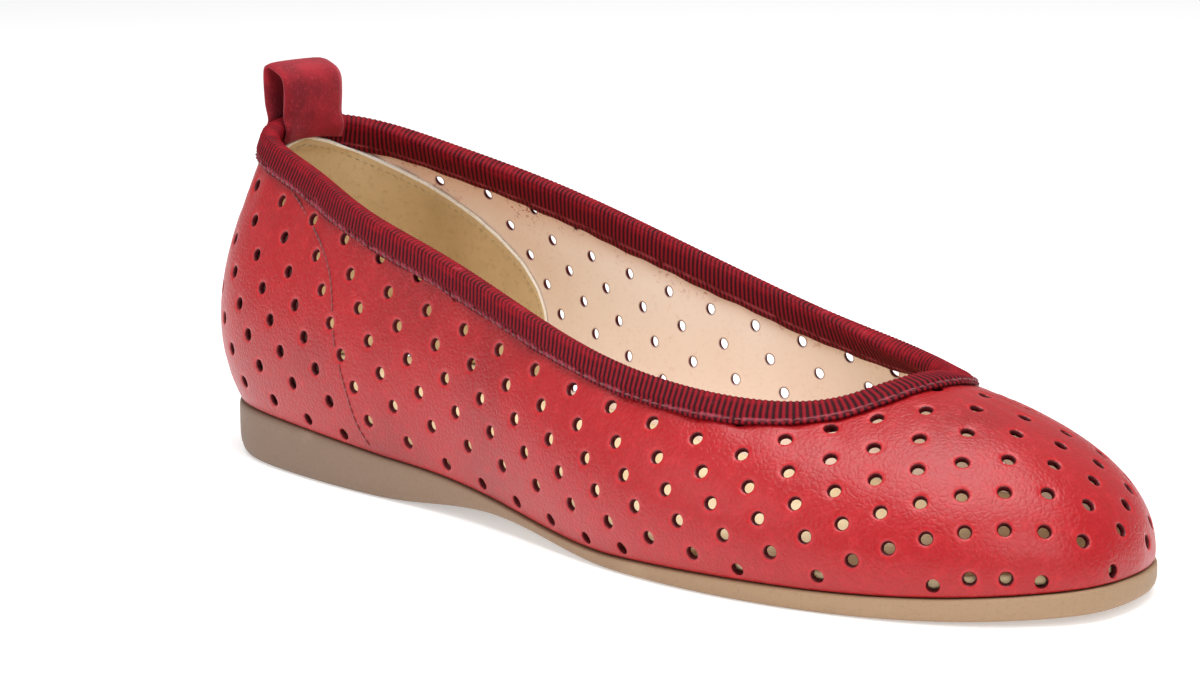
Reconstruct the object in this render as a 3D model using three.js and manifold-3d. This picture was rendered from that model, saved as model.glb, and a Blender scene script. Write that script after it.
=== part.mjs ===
// A flat ballet shoe for the right foot, in millimetres.
// +X points to the toe, +Y to the wearer's left (the inner side of this foot), +Z up.
// The floor is z = 0, where the heel and the forefoot stand.
import * as THREE from "three";
import { mergeVertices } from "three/addons/utils/BufferGeometryUtils.js";
import Module from "manifold-3d";

// Main sizes
const SOLE_LENGTH = 245;
const BALL_WIDTH = 80.6;
const HEEL_HEIGHT = 12.2;
const TOPLINE_BACK_HEIGHT = 73.6;
const THROAT_X = 195.4;
const TOPLINE_BACK_X = 8.2;
const THROAT_HEIGHT = 39.2;

// Thicknesses and clearances
const WALL = 1.2;
const GAP = 0.3;
const LIP_WIDTH = 9;
const INSOLE_THICKNESS = 2.4;
const SOLE_MARGIN = 0.6;
const RIBBON_THICKNESS = 0.8;
const RIBBON_GAP = 0.4;
const RIBBON_OUTSIDE = 6.2;
const RIBBON_INSIDE = 6.8;
const EDGE_ROUND = 0.9;
const INSOLE_ROUND = 0.7;

// Underside
const ARCH_LIFT = 3.1;
const ARCH_BACK = 0.27;
const ARCH_FRONT = 0.62;
const TOE_SPRING = 1.6;
const SPRING_START = 0.8;

// Pull loop
const LOOP_WIDTH = 17.5;
const LOOP_THICKNESS = 1.5;
const LOOP_RISE = 14;
const LOOP_LEG_OUTSIDE = 17;
const LOOP_LEG_INSIDE = 5;
const LOOP_SPREAD = 0.6;
const LOOP_FLAT_ABOVE = 4;
const LOOP_BENDS = 8;

// Perforation
const HOLE_DIAMETER = 3.1;
const HOLE_SIDES = 8;
const HOLE_STEP = 2;

// Sections round the shoe. turn is the place round it in degrees: 0 at the back
// of the heel, 180 at the tip of the toe. side widths and collar widths are
// shares of the ball width, collar x a share of the way from the back of the
// topline to the throat, collar z a share of the drop from the back's height
// to the throat's, lean the arc of the wall's curve in degrees, and bulge the
// swelling beyond the edge of the sole as a share of the heel's height.
const SECTIONS = [
  { turn: 0, outer: 0, inner: 0, cx: 0, co: 0, ci: 0, cz: 0, lean: 52, bulge: 0.46 },
  { turn: 15, outer: 0.175, inner: 0.168, cx: 0.0165, co: 0.143, ci: 0.143, cz: 0.03, lean: 50, bulge: 0.42 },
  { turn: 30, outer: 0.304, inner: 0.305, cx: 0.07, co: 0.222, ci: 0.226, cz: 0.1, lean: 51, bulge: 0.41 },
  { turn: 45, outer: 0.365, inner: 0.368, cx: 0.169, co: 0.275, ci: 0.281, cz: 0.22, lean: 54, bulge: 0.34 },
  { turn: 60, outer: 0.389, inner: 0.362, cx: 0.288, co: 0.348, ci: 0.342, cz: 0.376, lean: 56, bulge: 0.3 },
  { turn: 75, outer: 0.394, inner: 0.324, cx: 0.431, co: 0.375, ci: 0.365, cz: 0.563, lean: 58, bulge: 0.28 },
  { turn: 90, outer: 0.448, inner: 0.333, cx: 0.587, co: 0.407, ci: 0.388, cz: 0.787, lean: 62, bulge: 0.28 },
  { turn: 105, outer: 0.509, inner: 0.425, cx: 0.753, co: 0.415, ci: 0.405, cz: 1, lean: 66, bulge: 0.28 },
  { turn: 120, outer: 0.5, inner: 0.497, cx: 0.893, co: 0.35, ci: 0.348, cz: 1.1, lean: 69, bulge: 0.25 },
  { turn: 135, outer: 0.424, inner: 0.479, cx: 0.9605, co: 0.235, ci: 0.234, cz: 1.1, lean: 69, bulge: 0.18 },
  { turn: 150, outer: 0.306, inner: 0.377, cx: 0.986, co: 0.148, ci: 0.146, cz: 1.05, lean: 70, bulge: 0.13 },
  { turn: 165, outer: 0.154, inner: 0.21, cx: 0.9968, co: 0.071, ci: 0.071, cz: 1.012, lean: 71, bulge: 0.06 },
  { turn: 180, outer: 0, inner: 0, cx: 1, co: 0, ci: 0, cz: 1, lean: 72, bulge: 0.05 },
];

// Thickness of the sole along its length, as shares of the heel's height.
const SOLE_ROWS = [
  { x: 0, thick: 1 },
  { x: 0.12, thick: 0.971 },
  { x: 0.25, thick: 0.833 },
  { x: 0.33, thick: 0.661 },
  { x: 0.41, thick: 0.372 },
  { x: 0.49, thick: 0.205 },
  { x: 0.57, thick: 0.222 },
  { x: 0.72, thick: 0.325 },
  { x: 0.86, thick: 0.366 },
  { x: 1, thick: 0.432 },
];

const wasm = await Module();
wasm.setup();

// A natural cubic spline through the points (xs, ys).
function spline(xs, ys) {
  const n = xs.length;
  const m = new Array(n).fill(0);
  const u = new Array(n).fill(0);
  for (let i = 1; i < n - 1; i++) {
    const s = (xs[i] - xs[i - 1]) / (xs[i + 1] - xs[i - 1]);
    const p = s * m[i - 1] + 2;
    m[i] = (s - 1) / p;
    const rise = (ys[i + 1] - ys[i]) / (xs[i + 1] - xs[i]) - (ys[i] - ys[i - 1]) / (xs[i] - xs[i - 1]);
    u[i] = ((6 * rise) / (xs[i + 1] - xs[i - 1]) - s * u[i - 1]) / p;
  }
  for (let i = n - 2; i >= 0; i--) m[i] = m[i] * m[i + 1] + u[i];
  return (x) => {
    let k = 0;
    while (k < n - 2 && x > xs[k + 1]) k++;
    const h = xs[k + 1] - xs[k];
    const a = (xs[k + 1] - x) / h;
    const b = (x - xs[k]) / h;
    return a * ys[k] + b * ys[k + 1] + (((a * a * a - a) * m[k] + (b * b * b - b) * m[k + 1]) * h * h) / 6;
  };
}

// A smooth closed function of the turn: one column on the outer side, another
// on the inner side, which is the negative of it where sign is -1.
function around(outerColumn, innerColumn, sign) {
  const turns = [];
  const values = [];
  const put = (turn, value) => {
    turns.push(turn);
    values.push(value);
  };
  const rows = SECTIONS.length - 1;
  for (let i = -4; i <= 2 * rows + 4; i++) {
    const k = (i + 2 * rows) % (2 * rows);
    const onOuter = k <= rows;
    const row = SECTIONS[onOuter ? k : 2 * rows - k];
    put((i * 180) / rows, onOuter ? row[outerColumn] : sign * row[innerColumn]);
  }
  const curve = spline(turns, values);
  return (turn) => curve(((turn % 360) + 360) % 360);
}

const sideWidth = around("outer", "inner", -1);
const collarShare = around("cx", "cx", 1);
const collarWidth = around("co", "ci", -1);
const collarDrop = around("cz", "cz", 1);
const wallLean = around("lean", "lean", 1);
const wallBulge = around("bulge", "bulge", 1);
const soleThickness = spline(
  SOLE_ROWS.map((row) => row.x),
  SOLE_ROWS.map((row) => row.thick * HEEL_HEIGHT),
);

const radians = (degrees) => (degrees * Math.PI) / 180;
const clamp = (value, low, high) => Math.min(high, Math.max(low, value));
const smooth = (share) => share * share * (3 - 2 * share);

// Height of the underside over the floor at x: flat heel, arch, flat forefoot, toe spring.
function liftAt(x) {
  const s = clamp(x / SOLE_LENGTH, 0, 1);
  const arch = clamp((s - ARCH_BACK) / (ARCH_FRONT - ARCH_BACK), 0, 1);
  const toe = clamp((s - SPRING_START) / (1 - SPRING_START), 0, 1);
  return ARCH_LIFT * Math.sin(Math.PI * arch) ** 2 + TOE_SPRING * toe * toe;
}

// Height of the seam between the sole and the upper at x.
function seamAt(x) {
  return liftAt(x) + soleThickness(clamp(x / SOLE_LENGTH, 0, 1));
}

// Edge of the sole seen from above, moved outwards by the margin.
function edgeAt(turn, margin) {
  const at = (t) => [
    (SOLE_LENGTH * (1 - Math.cos(radians(t)))) / 2,
    -BALL_WIDTH * sideWidth(t),
  ];
  const [x, y] = at(turn);
  const [xa, ya] = at(turn - 0.5);
  const [xb, yb] = at(turn + 0.5);
  const length = Math.hypot(xb - xa, yb - ya);
  return { x: x + ((yb - ya) / length) * margin, y: y - ((xb - xa) / length) * margin };
}

// The topline of the upper.
function collarAt(turn) {
  return {
    x: TOPLINE_BACK_X + (THROAT_X - TOPLINE_BACK_X) * collarShare(turn),
    y: -BALL_WIDTH * collarWidth(turn),
    z: TOPLINE_BACK_HEIGHT - (TOPLINE_BACK_HEIGHT - THROAT_HEIGHT) * collarDrop(turn),
  };
}

// Outside of the upper: rise is 0 at the sole and 1 at the topline. Each wall
// is the arc of an ellipse, with a swelling low down.
function faceAt(turn, rise) {
  const lean = radians(wallLean(turn));
  const arc = lean * rise;
  const plan = (1 - Math.cos(arc)) / (1 - Math.cos(lean));
  const height = Math.sin(arc) / Math.sin(lean);
  const swell = HEEL_HEIGHT * wallBulge(turn) * 6.75 * rise * (1 - rise) ** 2;
  const foot = edgeAt(turn, 0);
  const out = edgeAt(turn, swell);
  const top = collarAt(turn);
  const base = seamAt(foot.x) + GAP / 2;
  return new THREE.Vector3(
    foot.x + (top.x - foot.x) * plan + (out.x - foot.x),
    foot.y + (top.y - foot.y) * plan + (out.y - foot.y),
    base + (top.z - base) * height,
  );
}

// Unit normal of the upper's outside.
function normalAt(turn, rise) {
  const low = clamp(rise - 0.01, 0, 1);
  const along = faceAt(turn + 0.5, rise).sub(faceAt(turn - 0.5, rise));
  const up = faceAt(turn, clamp(rise + 0.01, 0.01, 1)).sub(faceAt(turn, low));
  return along.cross(up).normalize();
}

// A point of the upper moved out by the offset, or in where it is negative.
function wallPoint(turn, rise, offset) {
  return faceAt(turn, rise).addScaledVector(normalAt(turn, rise), offset);
}

// A closed surface from rings of points: ring after ring, each one round the
// shoe, and the last ring joins the first.
function ringSolid(columns, ringOf) {
  const position = [];
  const index = [];
  let rings = 0;
  for (let i = 0; i < columns; i++) {
    const section = ringOf((360 * i) / columns);
    rings = section.length;
    for (const p of section) position.push(p.x, p.y, p.z);
  }
  for (let i = 0; i < columns; i++) {
    const next = (i + 1) % columns;
    for (let j = 0; j < rings; j++) {
      const up = (j + 1) % rings;
      const a = i * rings + j;
      const b = next * rings + j;
      const c = next * rings + up;
      const d = i * rings + up;
      index.push(a, b, c, a, c, d);
    }
  }
  return geometry(position, index);
}

// A closed body from stacked rings, with a ladder of rungs across each end.
function stackSolid(columns, sectionOf) {
  const position = [];
  const index = [];
  let rings = 0;
  for (let i = 0; i < columns; i++) {
    const section = sectionOf((360 * i) / columns);
    rings = section.length;
    for (const p of section) position.push(p.x, p.y, p.z);
  }
  const at = (i, j) => ((i + columns) % columns) * rings + j;
  for (let i = 0; i < columns; i++)
    for (let j = 0; j < rings - 1; j++) {
      index.push(at(i, j), at(i + 1, j), at(i + 1, j + 1));
      index.push(at(i, j), at(i + 1, j + 1), at(i, j + 1));
    }
  for (let i = 0; i < columns / 2; i++) {
    const low = [at(i, 0), at(-i, 0), at(-i - 1, 0), at(i + 1, 0)];
    const high = low.map((k) => k + rings - 1);
    if (i > 0) index.push(low[0], low[1], low[2], high[0], high[2], high[1]);
    if (i < columns / 2 - 1) index.push(low[0], low[2], low[3], high[0], high[3], high[2]);
  }
  return geometry(position, index);
}

function geometry(position, index) {
  const made = new THREE.BufferGeometry();
  made.setAttribute("position", new THREE.Float32BufferAttribute(position, 3));
  made.setIndex(index);
  return made;
}

const UPPER_COLUMNS = 72;
const UPPER_STEPS = 9;

// The point of the wall, moved by the offset, that lies at a small height over the seam.
function lowPoint(turn, height, offset) {
  let low = -0.1;
  let high = 0.4;
  const over = (rise) => {
    const p = wallPoint(turn, rise, offset);
    return p.z - seamAt(p.x) - GAP / 2 - height;
  };
  for (let k = 0; k < 24; k++) {
    const middle = (low + high) / 2;
    if (over(middle) > 0) high = middle;
    else low = middle;
  }
  return { rise: low, point: wallPoint(turn, low, offset) };
}

function upperSection(turn) {
  const low = (margin, lift) => {
    const { x, y } = edgeAt(turn, margin);
    return new THREE.Vector3(x, y, seamAt(x) + GAP / 2 + lift);
  };
  const wall = (height, offset) => {
    const start = lowPoint(turn, height, offset).rise;
    const step = (1 - start) / UPPER_STEPS;
    return Array.from({ length: UPPER_STEPS + 1 }, (_, k) => wallPoint(turn, start + k * step, offset));
  };
  return [
    ...wall(EDGE_ROUND, 0),
    ...wall(WALL, -WALL).reverse(),
    low(-LIP_WIDTH, WALL),
    low(-LIP_WIDTH, 0),
    low(-EDGE_ROUND, 0),
  ];
}

function ribbonSection(turn) {
  const foot = faceAt(turn, 0.5);
  const top = faceAt(turn, 1);
  const length = 2 * foot.distanceTo(top);
  const down = (distance) => 1 - distance / length;
  const direction = faceAt(turn, 1).sub(faceAt(turn, 0.97)).normalize();
  const over = (offset, rise) => wallPoint(turn, 1, offset).addScaledVector(direction, rise);
  const near = RIBBON_GAP;
  const far = RIBBON_GAP + RIBBON_THICKNESS;
  return [
    wallPoint(turn, down(RIBBON_OUTSIDE), near),
    wallPoint(turn, down(RIBBON_OUTSIDE), far),
    wallPoint(turn, down(RIBBON_OUTSIDE / 2), far),
    over(far, 0),
    over(near, far),
    over(-WALL - near, far),
    over(-WALL - far, 0),
    wallPoint(turn, down(RIBBON_INSIDE / 2), -WALL - far),
    wallPoint(turn, down(RIBBON_INSIDE), -WALL - far),
    wallPoint(turn, down(RIBBON_INSIDE), -WALL - near),
    wallPoint(turn, down(RIBBON_INSIDE / 2), -WALL - near),
    over(-WALL - near, 0),
    over(-WALL - near, near),
    over(near, near),
    over(near, 0),
    wallPoint(turn, down(RIBBON_OUTSIDE / 2), near),
  ];
}

function soleSection(turn) {
  const at = (margin, height) => {
    const { x, y } = edgeAt(turn, margin);
    const low = liftAt(x);
    const high = seamAt(x) - GAP / 2;
    return new THREE.Vector3(x, y, low + (high - low) * height);
  };
  return [at(-1.6, 0), at(SOLE_MARGIN - 0.9, 0.12), at(SOLE_MARGIN, 0.45), at(SOLE_MARGIN, 0.8), at(SOLE_MARGIN - 0.3, 1)];
}

function insoleSection(turn) {
  const low = (height) => {
    const { x, y } = edgeAt(turn, -LIP_WIDTH - GAP);
    return new THREE.Vector3(x, y, seamAt(x) + GAP / 2 + height);
  };
  const side = (height, inset) => lowPoint(turn, height, -WALL - GAP - inset).point;
  const board = WALL + GAP;
  const top = board + INSOLE_THICKNESS;
  return [low(GAP), low(board), side(board, GAP), side(top - INSOLE_ROUND, GAP), side(top, GAP + INSOLE_ROUND)];
}

// A closed body from rings with equal numbers of points, with a fan at each end.
function sweptSolid(sections) {
  const rings = sections[0].length;
  const position = sections.flat().flatMap((p) => [p.x, p.y, p.z]);
  const index = [];
  for (let i = 0; i < sections.length - 1; i++)
    for (let j = 0; j < rings; j++) {
      const next = (j + 1) % rings;
      const a = i * rings + j;
      const b = i * rings + next;
      index.push(a, b, b + rings, a, b + rings, a + rings);
    }
  const last = (sections.length - 1) * rings;
  for (let j = 0; j < rings / 2 - 1; j++) {
    const q = [j, j + 1, rings - 2 - j, rings - 1 - j];
    index.push(q[0], q[2], q[1], q[0], q[3], q[2]);
    index.push(last + q[0], last + q[1], last + q[2], last + q[0], last + q[2], last + q[3]);
  }
  return geometry(position, index);
}

// The place on the back of the upper, at a distance y from the back seam, below
// the topline by the drop and moved out by the offset.
function backPoint(y, drop, offset) {
  const rise = 1 - drop / faceAt(0, 1).distanceTo(faceAt(0, 0));
  let low = -50;
  let high = 50;
  for (let k = 0; k < 30; k++) {
    const middle = (low + high) / 2;
    if (wallPoint(middle, rise, offset).y < y) high = middle;
    else low = middle;
  }
  return wallPoint(low, rise, offset);
}

// The strip that covers the top of the back seam, stands up as a loop and comes
// down inside. Each station holds the drop below the topline or the height over
// it, and the offsets of the strip's two faces from the upper's outside.
function loopStations() {
  const outside = RIBBON_GAP + RIBBON_THICKNESS + GAP;
  const inside = -WALL - outside;
  const stations = [];
  const put = (drop, heights, near, far) => stations.push({ drop, heights, near, far });
  for (const [drop, lift] of [[LOOP_LEG_OUTSIDE, 0], [RIBBON_OUTSIDE + 1.6, 0], [RIBBON_OUTSIDE + 0.4, 1], [RIBBON_OUTSIDE / 2, 1]]) {
    const near = GAP + (outside - GAP) * lift;
    put(drop, [0, 0], near, near + LOOP_THICKNESS);
  }
  const middle = (outside + inside) / 2;
  const inner = (outside - inside) / 2 + LOOP_SPREAD;
  const outer = inner + LOOP_THICKNESS;
  const straight = LOOP_RISE - outer;
  const legs = [0, 0.2, 0.4, 0.7, 1].map((share) => ({ up: straight * share, out: LOOP_SPREAD * smooth(share) }));
  for (const { up, out } of legs) put(0, [up, up], outside + out, outside + out + LOOP_THICKNESS);
  for (let k = 1; k < LOOP_BENDS; k++) {
    const angle = (Math.PI * k) / LOOP_BENDS;
    const up = [inner, outer].map((radius) => straight + radius * Math.sin(angle));
    put(0, up, middle + inner * Math.cos(angle), middle + outer * Math.cos(angle));
  }
  for (const { up, out } of legs.reverse()) put(0, [up, up], inside - out, inside - out - LOOP_THICKNESS);
  put(LOOP_LEG_INSIDE, [0, 0], inside, inside - LOOP_THICKNESS);
  return stations;
}

function loopSolid() {
  const across = [-1, -0.5, 0, 0.5, 1].map((share) => (share * LOOP_WIDTH) / 2);
  const face = (drop, offset, up) => {
    const flat = backPoint(LOOP_WIDTH * 0.3, drop, offset).x;
    const flatness = smooth(clamp(up / LOOP_FLAT_ABOVE, 0, 1));
    return across.map((y) => {
      const p = backPoint(y, drop, offset);
      return new THREE.Vector3(p.x + (flat - p.x) * flatness, p.y, p.z + up);
    });
  };
  const sections = loopStations().map(({ drop, heights, near, far }) => [
    ...face(drop, near, heights[0]),
    ...face(drop, far, heights[1]).reverse(),
  ]);
  return sweptSolid(sections);
}

// The perforation is a square pattern laid slantwise over the whole upper. Its
// two counts, along and across, follow the place on the shoe: each row adds
// weight times powers of the three coordinates.
const ALONG = [
  { x: 0, y: 0, z: 0, weight: 16.457 },
  { x: 1, y: 0, z: 0, weight: 15.587 },
  { x: 0, y: 0, z: 1, weight: -1.936 },
  { x: 2, y: 0, z: 0, weight: 1.004 },
  { x: 1, y: 0, z: 1, weight: -0.161 },
  { x: 0, y: 2, z: 0, weight: -0.718 },
];
const ACROSS = [
  { x: 0, y: 1, z: 0, weight: 10.508 },
  { x: 1, y: 1, z: 0, weight: -6.409 },
  { x: 0, y: 1, z: 1, weight: -5.727 },
  { x: 2, y: 1, z: 0, weight: 0.457 },
  { x: 0, y: 3, z: 0, weight: -4.176 },
  { x: 1, y: 1, z: 1, weight: 0.531 },
  { x: 3, y: 1, z: 0, weight: 0.834 },
  { x: 1, y: 3, z: 0, weight: 3.634 },
  { x: 0, y: 1, z: 2, weight: -0.452 },
];

function patternAt(turn, rise) {
  const p = faceAt(turn, rise);
  const x = (p.x / SOLE_LENGTH - 0.49) / 0.408;
  const y = p.y / (BALL_WIDTH / 2);
  const z = p.z / (0.4 * TOPLINE_BACK_HEIGHT) - 1;
  const sum = (rows) => rows.reduce((total, row) => total + row.weight * x ** row.x * y ** row.y * z ** row.z, 0);
  return [sum(ALONG), sum(ACROSS)];
}

// Finds the place where the pattern has the two counts, from the nearest place of a coarse net.
function placeOf(net, along, across) {
  let best = net[0];
  let least = Infinity;
  for (const node of net) {
    const miss = (node.along - along) ** 2 + (node.across - across) ** 2;
    if (miss < least) [best, least] = [node, miss];
  }
  let { turn, rise } = best;
  for (let k = 0; k < 8; k++) {
    const [a, b] = patternAt(turn, rise);
    const [at, bt] = patternAt(turn + 0.2, rise);
    const [ar, br] = patternAt(turn, rise + 0.002);
    const m = [(at - a) / 0.2, (ar - a) / 0.002, (bt - b) / 0.2, (br - b) / 0.002];
    const det = m[0] * m[3] - m[1] * m[2];
    const [da, db] = [along - a, across - b];
    turn += clamp((m[3] * da - m[1] * db) / det, -6, 6);
    rise = clamp(rise + clamp((m[0] * db - m[2] * da) / det, -0.1, 0.1), -0.05, 1.05);
  }
  const [a, b] = patternAt(turn, rise);
  return { turn, rise, miss: Math.hypot(a - along, b - across) };
}

// Every second hole of the pattern both ways, clear of the ribbon, the seam and the loop.
function holePlaces() {
  const net = [];
  for (let turn = 0; turn < 360; turn += 3)
    for (let rise = 0.04; rise < 1; rise += 0.08) {
      const [along, across] = patternAt(turn, rise);
      net.push({ turn, rise, along, across });
    }
  const places = [];
  for (let i = -12; i < 40; i += HOLE_STEP)
    for (let j = -12; j < 40; j += HOLE_STEP) {
      const place = placeOf(net, i + j, i - j - 5);
      const { turn, rise, miss } = place;
      const p = faceAt(turn, rise);
      const length = faceAt(turn, 1).distanceTo(faceAt(turn, 0.5)) + faceAt(turn, 0.5).distanceTo(faceAt(turn, 0));
      const clearTop = (1 - rise) * length > RIBBON_OUTSIDE + HOLE_DIAMETER;
      const clearSeam = p.z - seamAt(p.x) > WALL + INSOLE_THICKNESS + HOLE_DIAMETER / 2;
      const clearLoop = Math.abs(p.y) > LOOP_WIDTH / 2 + HOLE_DIAMETER || p.x > SOLE_LENGTH / 4;
      if (miss < 0.05 && clearTop && clearSeam && clearLoop) places.push(place);
    }
  return places;
}

// A round bar through the wall at a place.
function holeBar({ turn, rise }) {
  const bar = new THREE.CylinderGeometry(HOLE_DIAMETER / 2, HOLE_DIAMETER / 2, WALL * 4, HOLE_SIDES);
  bar.deleteAttribute("normal");
  bar.deleteAttribute("uv");
  const normal = normalAt(turn, rise);
  const turned = new THREE.Quaternion().setFromUnitVectors(new THREE.Vector3(0, 1, 0), normal);
  bar.applyQuaternion(turned);
  const middle = wallPoint(turn, rise, -WALL / 2);
  bar.translate(middle.x, middle.y, middle.z);
  return manifoldOf(bar);
}

function manifoldOf(shape) {
  const merged = mergeVertices(shape, 1e-3);
  const triVerts = new Uint32Array(merged.index.array);
  const vertProperties = merged.attributes.position.array;
  return new wasm.Manifold(new wasm.Mesh({ numProp: 3, vertProperties, triVerts }));
}

function geometryOf(solid) {
  const made = solid.getMesh();
  return geometry(Array.from(made.vertProperties), Array.from(made.triVerts));
}

function upperSolid() {
  const shell = manifoldOf(ringSolid(UPPER_COLUMNS, upperSection));
  const bars = wasm.Manifold.union(holePlaces().map(holeBar));
  return geometryOf(shell.subtract(bars));
}

function meshOf(name, shape, colour, roughness) {
  const material = new THREE.MeshStandardMaterial({ color: colour, roughness, metalness: 0 });
  const mesh = new THREE.Mesh(shape, material);
  mesh.name = name;
  return mesh;
}

const group = new THREE.Group();
group.name = "flat_shoe";
group.add(meshOf("outsole", stackSolid(72, soleSection), "#b39a78", 0.6));
group.add(meshOf("insole", stackSolid(72, insoleSection), "#c9b48a", 0.8));
group.add(meshOf("upper", upperSolid(), "#c4303a", 0.45));
group.add(meshOf("collar_binding", ringSolid(72, ribbonSection), "#6b0f22", 0.9));
group.add(meshOf("pull_loop", loopSolid(), "#b02a38", 0.5));

// The origin is under the middle of the shoe, on the floor.
const size = new THREE.Box3().setFromObject(group);
const centre = size.getCenter(new THREE.Vector3());
group.position.set(-centre.x, -centre.y, -size.min.z);

export default group;
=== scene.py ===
"""Looks of a flat ballet shoe for the right foot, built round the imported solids.

Shapes are worked out in millimetres in the last's own frame: x runs from the
back of the heel to the toe, y is negative on the outer side, and z is up from
the floor. A turn in degrees says where round the shoe a place is: 0 at the
back of the heel, 90 on the outer side, 180 at the tip of the toe and 270 on
the inner side. A rise goes from 0 at the sole's seam to 1 at the topline.
"""
from __future__ import annotations

import logging
import math
from dataclasses import dataclass
from enum import Enum
from functools import cached_property
from typing import Callable, NamedTuple, Sequence

import bmesh
import bpy
import numpy as np
from mathutils import Matrix, Vector
from mathutils.geometry import delaunay_2d_cdt


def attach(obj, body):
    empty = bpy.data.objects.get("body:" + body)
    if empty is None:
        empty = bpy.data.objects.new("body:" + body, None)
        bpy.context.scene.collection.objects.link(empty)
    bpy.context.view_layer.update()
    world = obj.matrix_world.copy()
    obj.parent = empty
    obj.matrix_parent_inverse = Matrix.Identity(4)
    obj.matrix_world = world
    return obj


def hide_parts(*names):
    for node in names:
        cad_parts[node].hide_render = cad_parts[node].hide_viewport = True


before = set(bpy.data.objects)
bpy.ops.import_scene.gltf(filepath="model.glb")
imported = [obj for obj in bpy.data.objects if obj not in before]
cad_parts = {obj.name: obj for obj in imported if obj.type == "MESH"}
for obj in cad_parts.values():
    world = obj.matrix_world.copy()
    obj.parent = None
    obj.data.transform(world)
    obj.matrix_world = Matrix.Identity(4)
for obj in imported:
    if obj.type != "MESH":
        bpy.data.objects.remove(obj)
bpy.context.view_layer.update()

log = logging.getLogger("flat_shoe")

Array = np.ndarray

MM = 0.001
SHOE_CENTRE = (120.4435, -0.9715, 0.0)


class SectionRow(NamedTuple):
    """One section of the last, in shares of the named sizes."""

    turn: float
    outer: float
    inner: float
    collar_x: float
    collar_outer: float
    collar_inner: float
    collar_drop: float
    lean: float
    bulge: float


SECTIONS = (
    SectionRow(0, 0, 0, 0, 0, 0, 0, 52, 0.46),
    SectionRow(15, 0.175, 0.168, 0.0165, 0.143, 0.143, 0.03, 50, 0.42),
    SectionRow(30, 0.304, 0.305, 0.07, 0.222, 0.226, 0.1, 51, 0.41),
    SectionRow(45, 0.365, 0.368, 0.169, 0.275, 0.281, 0.22, 54, 0.34),
    SectionRow(60, 0.389, 0.362, 0.288, 0.348, 0.342, 0.376, 56, 0.3),
    SectionRow(75, 0.394, 0.324, 0.431, 0.375, 0.365, 0.563, 58, 0.28),
    SectionRow(90, 0.448, 0.333, 0.587, 0.407, 0.388, 0.787, 62, 0.28),
    SectionRow(105, 0.509, 0.425, 0.753, 0.415, 0.405, 1, 66, 0.28),
    SectionRow(120, 0.5, 0.497, 0.893, 0.35, 0.348, 1.1, 69, 0.25),
    SectionRow(135, 0.424, 0.479, 0.9605, 0.235, 0.234, 1.1, 69, 0.18),
    SectionRow(150, 0.306, 0.377, 0.986, 0.148, 0.146, 1.05, 70, 0.13),
    SectionRow(165, 0.154, 0.21, 0.9968, 0.071, 0.071, 1.012, 71, 0.06),
    SectionRow(180, 0, 0, 1, 0, 0, 1, 72, 0.05),
)

QUARTER_TURNS = (38, 41.5, 46.5, 52.5, 56.6, 58.7, 60.8, 62.5, 63.4)
QUARTER_RISES = (0.885, 0.86, 0.815, 0.735, 0.606, 0.399, 0.225, 0.069, 0.025)

SOLE_ROWS = (
    (0, 1), (0.12, 0.971), (0.25, 0.833), (0.33, 0.661), (0.41, 0.372),
    (0.49, 0.205), (0.57, 0.222), (0.72, 0.325), (0.86, 0.366), (1, 0.432),
)


class NaturalSpline:
    """Natural cubic spline through knots, read at whole arrays."""

    def __init__(self, knots: Sequence[float], values: Sequence[float]) -> None:
        """Solves the bends at the knots.

        Args:
            knots: Places of the knots, rising.
            values: Values at the knots.
        """
        self.x = np.asarray(knots, float)
        self.y = np.asarray(values, float)
        step = np.diff(self.x)
        inner = np.arange(1, len(self.x) - 1)
        system = np.eye(len(self.x))
        system[inner, inner - 1] = step[:-1]
        system[inner, inner] = 2 * (step[:-1] + step[1:])
        system[inner, inner + 1] = step[1:]
        right = np.zeros(len(self.x))
        right[1:-1] = 6 * np.diff(np.diff(self.y) / step)
        self.bend = np.linalg.solve(system, right)

    def __call__(self, at: Array) -> Array:
        """Value at each place: a y0 + b y1 + ((a^3 - a) m0 + (b^3 - b) m1) h^2 / 6."""
        k = np.clip(np.searchsorted(self.x, at, side="right") - 1, 0, len(self.x) - 2)
        step = self.x[k + 1] - self.x[k]
        a = (self.x[k + 1] - at) / step
        b = 1 - a
        bent = (a**3 - a) * self.bend[k] + (b**3 - b) * self.bend[k + 1]
        return a * self.y[k] + b * self.y[k + 1] + bent * step * step / 6


def smooth_step(value: Array) -> Array:
    """Soft step from 0 to 1: 3 v^2 - 2 v^3, with v held between 0 and 1."""
    v = np.clip(value, 0, 1)
    return v * v * (3 - 2 * v)


def unit(vectors: Array) -> Array:
    """Vectors of length one."""
    return vectors / np.linalg.norm(vectors, axis=-1, keepdims=True)


def within(places: Array, outline: Array) -> Array:
    """Whether flat places lie inside a closed outline, by counting crossings."""
    ahead = np.roll(outline, -1, axis=0)
    x, y = places[:, :1], places[:, 1:]
    crosses = (outline[None, :, 1] > y) != (ahead[None, :, 1] > y)
    rise = np.where(ahead[:, 1] == outline[:, 1], 1.0, ahead[:, 1] - outline[:, 1])
    at = outline[:, 0] + (y - outline[:, 1]) / rise * (ahead[:, 0] - outline[:, 0])
    return (crosses & (x < at)).sum(1) % 2 == 1


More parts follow.
